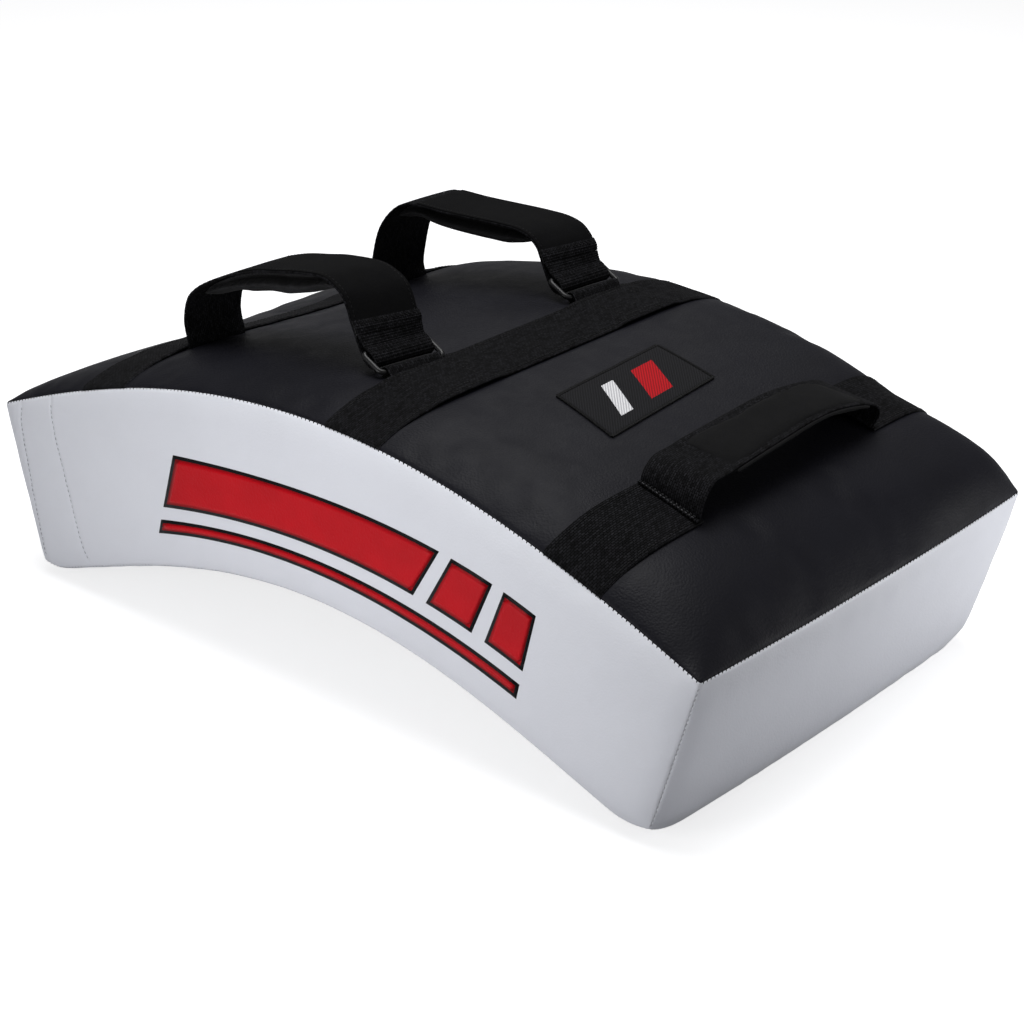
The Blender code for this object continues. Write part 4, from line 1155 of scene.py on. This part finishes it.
# Point of the grip: it follows the back at its feet and leans over more the higher it stands
def leaning(y, height, across):
    u, v = grip["arc"] / halfLength, y / halfWidth
    base = backPoint(u, v)
    level = backPoint(u, grip["shift"] / halfWidth)
    share = np.clip((height - grip["onBand"]) / (grip["rise"] - grip["onBand"]), 0, 1)
    base[..., 2] += (level[2] - base[..., 2]) * share
    along = unit(backPoint(u + pad["slope"], v) - backPoint(u - pad["slope"], v))
    arm = along * across[..., None] + upperSide(along) * height[..., None]
    turn = -grip["lean"] * share
    x = arm[..., 0] * np.cos(turn) + arm[..., 2] * np.sin(turn)
    z = -arm[..., 0] * np.sin(turn) + arm[..., 2] * np.cos(turn)
    return base + np.stack([x, arm[..., 1], z], axis=-1)


gripRun = gripLine()
gripLength = runOf(gripRun)[-1]


def gripPlace(s, b, lift=0.0):
    run = runOf(gripRun)
    side = unit(np.gradient(gripRun, axis=0))
    y = np.interp(s, run, gripRun[:, 0]) - np.interp(s, run, side[:, 1]) * lift
    height = np.interp(s, run, gripRun[:, 1]) + np.interp(s, run, side[:, 0]) * lift
    return leaning(y, height, b)


made = clothStrip("grip_webbing", gripPlace, (gripLength, 0.050, grip["thickness"]),
                  (int(gripLength / 0.0011), 14), webbing, strap["longRibs"])
gripBase = backPoint(grip["arc"] / halfLength, grip["shift"] / halfWidth)
gripOut = normalOf(backPoint, grip["arc"] / halfLength, grip["shift"] / halfWidth)
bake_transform(made)
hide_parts("hand_grip")

level = gripRun[:, 1] > 0.019
s = np.linspace(*np.interp(grip["sleeve"], gripRun[level, 0], runOf(gripRun)[level]), roughCells[0])
share, across = (np.linspace(-1, 1, count) for count in roughCells)
sGrid, bGrid = np.meshgrid(s, across * (sleeve["width"] / 2 - sleeve["shrink"]), indexing="ij")
full = rounding(share, 10, 0.02)[:, None] * rounding(across, 5)
over, under = (grip["thickness"] / 2 + sleeve[key] - sleeve["shrink"] for key in ("over", "under"))
top, low = (gripPlace(sGrid, bGrid, (over - under) / 2 + (over + under) / 2 * full * way) for way in (1, -1))
edge = np.ones(full.shape, bool)
edge[1:-1, 1:-1] = False
low[edge] = top[edge]
rough = skin("sleeve_rough", low, top, softCover, np.stack([sGrid, bGrid], axis=-1))
made = puffUp("grip_sleeve", rough, softCover, sleeve)
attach(made, "grip")
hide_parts("hand_grip_pad")

# Rolled binding sewn along both edges of the sleeve
count, sides = sleeve["bindingCells"]
for label, edge in (("left", -1), ("right", 1)):
    along = np.linspace(s[0] + 0.002, s[-1] - 0.002, count)
    line = gripPlace(along, np.full(count, edge * (sleeve["width"] / 2 - 0.0004)), -0.0012)
    ahead = unit(np.gradient(line, axis=0))
    flat = unit(np.cross(ahead, gripOut))
    radius = sleeve["binding"] * rounding(np.linspace(-1, 1, count), 30, 0.0001)[:, None, None]
    points, numbers = tubeRound(line, flat, np.cross(flat, ahead), radius, sides)
    caps = [numbers[0, :-1].tolist(), numbers[-1, -2::-1].tolist()]
    made = makeObject(f"grip_{label}_binding", points, gridFaces(numbers, True) + caps, gripBinding)
    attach(made, "grip")
print("hand grip made")


# Lays points on a panel of the cover: each goes along its direction to the panel, then stands off it by lift
def drape(points, towards, surface, lift, reach=0.08):
    towards = np.broadcast_to(towards, points.shape)
    laid = points.reshape(-1, 3).copy()
    outs = np.zeros_like(laid)
    for k, (point, way) in enumerate(zip(points.reshape(-1, 3), towards.reshape(-1, 3))):
        hit, normal = surface.ray_cast(Vector(point), Vector(way), reach)[:2]
        if hit is None:
            hit, normal = surface.find_nearest(Vector(point))[:2]
        normal = normal if normal.dot(Vector(way)) < 0 else -normal
        laid[k], outs[k] = hit, normal
    outs = outs.reshape(points.shape)
    return laid.reshape(points.shape) + outs * lift, outs


# Woven patch, with a plain motif of two slanted bars

patch = {"thickness": 0.0008, "size": (0.057, 0.124), "slant": 0.45, "barHalf": 0.0165,
         "bars": [(-0.030, 0.014, "#d8d8da", "#a9a9ad"), (0.006, 0.026, "#b01019", "#7d0a13")],
         "corners": [[(0.1005, -0.0602), (0.0945, 0.0600)], [(0.1588, -0.0728), (0.1490, 0.0545)]]}


# Twill woven patch: fine diagonal ribs 1 mm apart, bars woven in red and white, an overlocked border
def patchTwill():
    made, tree, shader = startMaterial("black woven patch twill", 0.75, Specular_IOR_Level=0.10, Sheen_Weight=0.02)
    layout = addNode(tree, "TexCoord", {}).outputs["UV"]
    ribs = addNode(tree, "TexWave", {"bands_direction": "DIAGONAL", "Vector": layout, "Scale": 0.22 / 0.001,
                                     "Distortion": 0.6, "Detail": 1.0})
    parts = addNode(tree, "SeparateXYZ", {"Vector": layout}).outputs
    slant = addNode(tree, "Math", {"operation": "MULTIPLY_ADD", 0: parts["X"], 1: patch["slant"], 2: parts["Y"]})
    ground = addNode(tree, "ValToRGB", {"Fac": ribs.outputs["Fac"], "stops": [(0.1, "#0a0a0c"), (0.8, "#17171a")]})
    colour = ground
    inside = addNode(tree, "Math", {"operation": "ABSOLUTE", 0: parts["X"]})
    tall = addNode(tree, "Math", {"operation": "LESS_THAN", 0: inside, 1: patch["barHalf"]})
    for start, width, light, dark in patch["bars"]:
        off = addNode(tree, "Math", {"operation": "SUBTRACT", 0: slant, 1: start + width / 2})
        off = addNode(tree, "Math", {"operation": "ABSOLUTE", 0: off})
        mask = addNode(tree, "Math", {"operation": "LESS_THAN", 0: off, 1: width / 2})
        mask = addNode(tree, "Math", {"operation": "MULTIPLY", 0: mask, 1: tall})
        yarn = addNode(tree, "ValToRGB", {"Fac": ribs.outputs["Fac"], "stops": [(0.1, dark), (0.8, light)]})
        colour = addNode(tree, "Mix", {"data_type": "RGBA", 0: mask, 6: colour, 7: yarn}).outputs[2]
    join(tree, shader, colour, None, ribs.outputs["Fac"], 0.0004, 0.6)
    return made


def patchGrid(grow, cells):
    long, wide = patch["size"]
    a, b = np.meshgrid(np.linspace(-0.5, 0.5, cells[0]) * (1 + grow / long),
                       np.linspace(-0.5, 0.5, cells[1]) * (1 + grow / wide), indexing="ij")
    (nearLeft, farLeft), (nearRight, farRight) = (np.array(pair) for pair in patch["corners"])
    left = nearLeft * (0.5 - b)[..., None] + farLeft * (0.5 + b)[..., None]
    right = nearRight * (0.5 - b)[..., None] + farRight * (0.5 + b)[..., None]
    spot = left * (0.5 - a)[..., None] + right * (0.5 + a)[..., None]
    u, v = spot[..., 0] / halfLength, spot[..., 1] / halfWidth
    return overBack(u, v, 0.02), -normalOf(backPoint, u, v), np.stack([a * long, b * wide], axis=-1)


points, towards, uv = patchGrid(0.0, (24, 44))
rear, outs = drape(points, towards, surfaces["cover_back"], pad["gap"])
rise = np.full(rear.shape[:2], patch["thickness"])
rise[[0, -1], :] = rise[:, [0, -1]] = 0
made = skin("woven_patch_cloth", rear + outs * rise[..., None], rear, patchTwill(), uv)
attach(made, "cover")
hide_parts("patch")

# Printed flash on the near side: plain slanted bars that follow its curve, red with a black edge

flash = {"top": [(-0.135, 0.144), (0.053, 0.156), (0.198, 0.1325)],
         "foot": [(-0.154, 0.077), (0.014, 0.097), (0.183, 0.067)], "edge": 0.0028, "film": 0.00016,
         "size": (0.345, 0.066), "cell": 0.004,
         "bars": [(0.0, 0.700, 0.34, 1.0), (0.735, 0.860, 0.34, 1.0), (0.895, 1.0, 0.34, 1.0), (0.0, 1.0, 0.0, 0.18)]}


def throughThree(points, s):
    first, middle, last = (np.array(p) for p in points)
    s = s[..., None]
    return first * (2 * s - 1) * (s - 1) + middle * 4 * s * (1 - s) + last * s * (2 * s - 1)


def flashFilm(name, start, stop, low, high, inset, lift, finish):
    s, t = np.meshgrid(*(np.linspace(first + inset / size, last - inset / size,
                                     max(3, int((last - first) * size / flash["cell"])))
                         for first, last, size in zip((start, low), (stop, high), flash["size"])), indexing="ij")
    flat = throughThree(flash["foot"], s) * (1 - t[..., None]) + throughThree(flash["top"], s) * t[..., None]
    points = np.stack([flat[..., 0], np.full(s.shape, -halfWidth - 0.02), flat[..., 1]], axis=-1)
    rear, outs = drape(points, (0.0, 1.0, 0.0), surfaces["cover_near_side"], lift)
    rise = np.full(s.shape, flash["film"])
    rise[[0, -1], :] = rise[:, [0, -1]] = 0
    made = skin(name, rear + outs * rise[..., None], rear, finish, flat)
    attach(made, "cover")


for number, (start, stop, low, high) in enumerate(flash["bars"]):
    flashFilm(f"flash_edge_{number}", start, stop, low, high, 0.0, 0.00004, blackInk)
    flashFilm(f"flash_bar_{number}", start, stop, low, high, flash["edge"], 0.00022, redInk)
print("patch and flash made")

# Stitches: rows of points with a heading and an outward direction, which Geometry Nodes turn into threads.
# Each group has its body, its thread and a stitch's length, width and height

threads = {"cover_black": ("cover", blackThread, (0.0027, 0.0009, 0.0008)),
           "cover_charcoal": ("cover", charcoalThread, (0.0024, 0.0010, 0.0009)),
           "cover_seam": ("cover", blackThread, (0.0030, 0.0010, 0.0009)),
           "cover_white": ("cover", whiteThread, (0.0026, 0.0007, 0.0006)),
           "cover_grey": ("cover", greyThread, (0.0028, 0.0007, 0.0006)),
           "cover_overlock": ("cover", blackThread, (0.0034, 0.0010, 0.0011)),
           "flap_white": ("closure", whiteThread, (0.0026, 0.0007, 0.0006))}
for body in ("near_strap", "far_strap", "near_tail", "far_tail"):
    threads[f"{body}_black"] = (body, blackThread, (0.0024, 0.0008, 0.0006))


# A row of stitches along a path, each turned from its run and lifted along outs, its direction out of the cloth
def sewRow(group, path, outs, pitch, turn=0.0, lift=0.0):
    outs = np.broadcast_to(outs, path.shape)
    path = cornerPull(path)
    run = runOf(path)
    count = max(1, int(round(run[-1] / pitch)))
    at = (np.arange(count) + 0.5) * run[-1] / count
    points = np.stack([np.interp(at, run, path[:, k]) for k in range(3)], axis=1)
    ahead = np.gradient(path, axis=0)
    ahead = unit(np.stack([np.interp(at, run, ahead[:, k]) for k in range(3)], axis=1))
    up = unit(np.stack([np.interp(at, run, outs[:, k]) for k in range(3)], axis=1))
    ahead = ahead * cos(turn) + np.cross(up, ahead) * sin(turn)
    stitchSets.setdefault(group, []).append((points + up * lift, ahead, up))


def stitchTree():
    tree = bpy.data.node_groups.new("sewn stitches", "GeometryNodeTree")
    tree.interface.new_socket(name="Geometry", in_out="INPUT", socket_type="NodeSocketGeometry")
    for label in ("Length", "Width", "Height"):
        tree.interface.new_socket(name=label, in_out="INPUT", socket_type="NodeSocketFloat")
    tree.interface.new_socket(name="Thread", in_out="INPUT", socket_type="NodeSocketMaterial")
    tree.interface.new_socket(name="Geometry", in_out="OUTPUT", socket_type="NodeSocketGeometry")
    given = addNode(tree, "NodeGroupInput", {}).outputs
    heading, up = (addNode(tree, "GeometryNodeInputNamedAttribute", {"data_type": "FLOAT_VECTOR", "Name": label})
                                                                     for label in ("heading", "up"))
    turn = addNode(tree, "FunctionNodeAxesToRotation", {"primary_axis": "Z", "secondary_axis": "X",
                                                        0: up, 1: heading})
    uneven = addNode(tree, "FunctionNodeRandomValue", {"data_type": "FLOAT", 2: 0.9, 3: 1.08, "Seed": 7})
    length = addNode(tree, "Math", {"operation": "MULTIPLY", 0: given["Length"], 1: uneven.outputs[1]})
    size = addNode(tree, "CombineXYZ", {"X": length, "Y": given["Width"], "Z": given["Height"]})
    bead = addNode(tree, "GeometryNodeMeshUVSphere", {"Segments": 6, "Rings": 5, "Radius": 0.5})
    placed = addNode(tree, "GeometryNodeInstanceOnPoints", {
        "Points": given["Geometry"], "Instance": bead, "Rotation": turn,
        "Scale": size})
    real = addNode(tree, "GeometryNodeRealizeInstances", {"Geometry": placed})
    rounded = addNode(tree, "GeometryNodeSetShadeSmooth", {"Geometry": real})
    painted = addNode(tree, "GeometryNodeSetMaterial", {"Geometry": rounded, "Material": given["Thread"]})
    addNode(tree, "NodeGroupOutput", {0: painted})
    return tree


def makeStitches():
    tree = stitchTree()
    keys = {item.name: item.identifier for item in tree.interface.items_tree if item.in_out == "INPUT"}
    for group, rows in stitchSets.items():
        body, finish, size = threads[group]
        points, ahead, up = (np.concatenate(part) for part in zip(*rows))
        mesh = bpy.data.meshes.new(group)
        mesh.from_pydata(points.tolist(), [], [])
        for label, array in (("heading", ahead), ("up", up)):
            layer = mesh.attributes.new(label, "FLOAT_VECTOR", "POINT")
            layer.data.foreach_set("vector", array.astype(np.float32).ravel())
        row = addObject(group, mesh)
        modifier = row.modifiers.new("stitches", "NODES")
        modifier.node_group = tree
        for label, value in zip(("Length", "Width", "Height", "Thread"), (*size, finish)):
            modifier[keys[label]] = value
        row.update_tag()
        bpy.context.view_layer.update()
        sewnMesh = bpy.data.meshes.new_from_object(evaluated(row))
        row.modifiers.clear()
        bpy.data.objects.remove(row)
        made = addObject(f"stitches_{group}", sewnMesh)
        if body.endswith("_tail"):
            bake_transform(made)
        else:
            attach(made, body)
        print("  ", group, len(points), "stitches")


# Seams round the back in black and round the strike face in white, slanted over the edge. The flap's foot has none
seam = {"sunk": 0.0011, "slant": radians(62), "cornerSlant": radians(25)}
pitches = {"seam": 0.0037, "corner": 0.0040, "hem": 0.0036, "tape": 0.0034, "border": 0.0011, "grip": 0.0030}
for line, height, share, group in ((backLine, backHeight, 1, "cover_seam"),
                                   (strikeLine, strikeHeight, 0, "cover_white")):
    upDown = 1 if share else -1
    for side in (-1, 1):
        us, vs = np.linspace(-0.995, 0.995, 160), np.linspace(-0.99, 0.99, 90)
        for u, v, ahead in ((us, side, False), (np.full(len(vs), float(side)), vs, True)):
            if ahead and side < 0 and not share:
                continue
            run = seamRun(line, height, u)
            outs = unit(upperSide(run) * upDown + (run * side if ahead else np.array([0, side, 0])))
            path = flatPoint(u, v, share) - outs * seam["sunk"]
            sewRow(group, path, outs, pitches["seam"], seam["slant"] * side * upDown)

# Upright corner seams at the right end
for side in (-1, 1):
    shares = np.linspace(0.03, 0.97, 40)
    path = flatPoint(1, side, shares)
    out = unit(np.array([0.97, side * 1.0, -0.25]))
    sewRow("cover_grey", path - out * seam["sunk"], out, pitches["corner"], seam["cornerSlant"] * side)

# The two rows near the left end of each long side
for top, foot in sideRows:
    for sideName, side in bothSides:
        line = np.linspace(0.03, 0.97, 40)[:, None]
        flat = np.array(top) * (1 - line) + np.array(foot) * line
        points = np.stack([flat[:, 0], np.full(40, side * (halfWidth + 0.02)), flat[:, 1]], axis=1)
        path, outs = drape(points, (0.0, -side, 0.0), surfaces[f"cover_{sideName}_side"], 0.0002)
        sewRow("cover_grey", path, outs, pitches["corner"])

# Both edges of each band, and the boxes that hold straps and keepers under them, given by their half sides.
# edgeRow says how far in rows begin, and how far from the middle they run on bands, tapes, grip and hems
boxHalf = (0.021, 0.0175)
edgeRow = {"in": 0.004, "off": 0.0215, "tape": 0.0222, "grip": 0.0225, "hem": 0.022, "hemUp": 0.003}
for name in ("left_band", "middle_band", "right_band_near", "right_band_far"):
    arc, start, end, over = band[name]
    place = bandPlace(arc, start, over)
    ss = np.linspace(edgeRow["in"], (end - start) * halfWidth - edgeRow["in"], 120)
    us = arc / halfLength
    for edge in (-1, 1):
        path = place(ss, np.full(120, edge * edgeRow["off"]))
        outs = normalOf(backPoint, np.full(120, us), (start * halfWidth + ss) / halfWidth)
        sewRow("cover_black", path, outs, pitches["hem"], 0.0, band["thickness"] / 2)
    if over:
        for side in (-1, 1):
            centre = side * band["offset"] - start * halfWidth
            square = [(boxHalf[0] * s, boxHalf[1] * b) for s, b in ((-1, -1), (1, -1), (1, 1), (-1, 1), (-1, -1))]
            for first, last in zip(square, square[1:]):
                t = np.linspace(0, 1, 16)
                ss = centre + first[0] + (last[0] - first[0]) * t
                bs = first[1] + (last[1] - first[1]) * t
                path = place(ss, bs)
                outs = normalOf(backPoint, (arc + bs) / halfLength, (start * halfWidth + ss) / halfWidth)
                sewRow("cover_black", path, outs, pitches["tape"], 0.0, band["thickness"] / 2)

# Overlocked border of the patch
for cells in ((2, 60), (30, 2)):
    points, towards, uv = patchGrid(-0.0016, cells)
    laid, outs = drape(points, towards, surfaces["cover_back"], pad["gap"] + patch["thickness"] * 0.8)
    for k in (0, -1):
        path, out = (laid[k], outs[k]) if cells[0] == 2 else (laid[:, k], outs[:, k])
        sewRow("cover_overlock", path, out, pitches["border"], radians(80))

# Tape edges on the straps, the hem of each tail, and the cross rows on the grip's sewn ends
for sideName, side in bothSides:
    arch = strapLines(side)[1]
    line = partOf(arch, 0.405, 1 - strap["tailStart"] / runOf(arch)[-1] - 0.005)
    line = beside(line, strap["thickness"] / 2 + strap["tape"] + 0.0003)
    normal = unit(np.gradient(line, axis=0))
    outs = np.stack([-normal[:, 1], np.zeros(len(line)), normal[:, 0]], axis=1)
    for edge in (-1, 1):
        ys = np.full(len(line), side * band["offset"] + edge * edgeRow["tape"])
        path = np.stack([line[:, 0], ys, line[:, 1]], axis=1)
        sewRow(f"{sideName}_strap_black", twisted(path, side), outs, pitches["tape"])
    height = strap["tailStart"] + strap["tailLength"] - edgeRow["hemUp"]
    out = strap["stack"] - strap["turn"] + strap["thickness"] / 2 + legBow(height) - 0.0004
    flat = upperBar + legOut * out + legUp * height
    ys = side * band["offset"] + np.linspace(-edgeRow["hem"], edgeRow["hem"], 20)
    path = np.stack([np.full(20, flat[0]), ys, np.full(20, flat[1])], axis=1)
    sewRow(f"{sideName}_tail_black", twisted(path, side), np.array([legOut[0], 0, legOut[1]]), pitches["tape"])
for s in (0.0010, 0.0032, gripLength - 0.0032, gripLength - 0.0010):
    bs = np.linspace(-edgeRow["grip"], edgeRow["grip"], 20)
    path = gripPlace(np.full(20, s), bs, grip["thickness"] / 2)
    sewRow("cover_charcoal", path, gripOut, pitches["grip"])

# Hem of the closure flap
for first, last in (((-0.96, 0.93), (-0.96, -0.94)), ((-0.96, -0.94), (0.96, -0.94)), ((0.96, -0.94), (0.96, 0.93))):
    t = np.linspace(0, 1, 60)
    a, b = (first[k] + (last[k] - first[k]) * t for k in (0, 1))
    points = flatPoint(np.full(60, -1.0), -a, (b + 1) / 2) + np.array([-0.03, 0, 0])
    path, outs = drape(points, (1.0, 0.0, 0.0), surfaces["cover_flap"], 0.0002)
    sewRow("flap_white", path, outs, pitches["hem"])
makeStitches()
print("stitches sewn")

# Floor, backdrop and lamps: a pale studio that stays white in the picture and keeps the object's shadow

studio = {"floor": "#c2c2c4", "world": 0.15, "sheen": 0.10, "glow": 0.72, "floorSheen": 0.25, "drop": 0.0012}


# 1 where the camera looks, also through something clear, and a share of it in reflections
def seenShare(tree, sheen):
    rays = addNode(tree, "LightPath", {}).outputs
    seen = addNode(tree, "Math", {"operation": "MAXIMUM", 0: rays["Is Camera Ray"], 1: rays["Is Transmission Ray"]})
    glossy = addNode(tree, "Math", {"operation": "MULTIPLY", 0: rays["Is Glossy Ray"], 1: sheen})
    return addNode(tree, "Math", {"operation": "MAXIMUM", 0: seen, 1: glossy})


def makeFloor():
    made, tree, shader = startMaterial("pale studio floor", 0.9, Base_Color=linear(studio["floor"]),
                                       Specular_IOR_Level=0.1)
    seen = seenShare(tree, studio["floorSheen"])
    amount = addNode(tree, "Math", {"operation": "MULTIPLY", 0: seen, 1: studio["glow"]})
    glow = addNode(tree, "Emission", {"Color": (1, 1, 1, 1), "Strength": amount})
    both = addNode(tree, "AddShader", {0: shader, 1: glow})
    tree.links.new(both.outputs[0], tree.nodes["Material Output"].inputs["Surface"])
    floor = makeObject("studio_floor", [(-30, -30, 0), (30, -30, 0), (30, 30, 0), (-30, 30, 0)], [(0, 1, 2, 3)], made)
    floor.location.z = cadBox[0].z - studio["drop"]


def makeWorld():
    world = bpy.data.worlds.new("studio")
    world.use_nodes = True
    scene.world = world
    tree = world.node_tree
    seen = seenShare(tree, studio["sheen"])
    light = addNode(tree, "MapRange", {"Value": seen, "To Min": studio["world"], "To Max": 1.0})
    tree.links.new(light.outputs[0], tree.nodes["Background"].inputs["Strength"])
    tree.nodes["Background"].inputs["Color"].default_value = (1, 1, 1, 1)


lamps = {
    "overhead softbox": {"place": (-0.05, 0.10, 2.0), "aim": (0, 0, 0.1), "size": 1.3, "power": 38},
    "rear softbox": {"place": (-0.75, 1.05, 1.45), "aim": (0, 0, 0.15), "size": 0.8, "power": 3.5},
    "front softbox": {"place": (0.02, -0.72, 0.20), "aim": (0.05, 0, 0.12), "size": 0.30, "power": 1.72},
    "right softbox": {"place": (0.60, 0.27, 0.17), "aim": (0.32, 0.14, 0.11), "size": 0.18, "power": 0.68},
}


def makeLamps():
    for name, given in lamps.items():
        data = bpy.data.lights.new(name, "AREA")
        data.shape = "SQUARE"
        data.size = given["size"]
        data.energy = given["power"]
        lamp = addObject(name, data)
        lamp.location = given["place"]
        aim = Vector(given["aim"]) - Vector(given["place"])
        lamp.rotation_euler = aim.to_track_quat("-Z", "Y").to_euler()
        lamp.visible_camera = False


makeFloor()
makeWorld()
makeLamps()
scene.view_settings.view_transform = "Standard"
print("studio made")
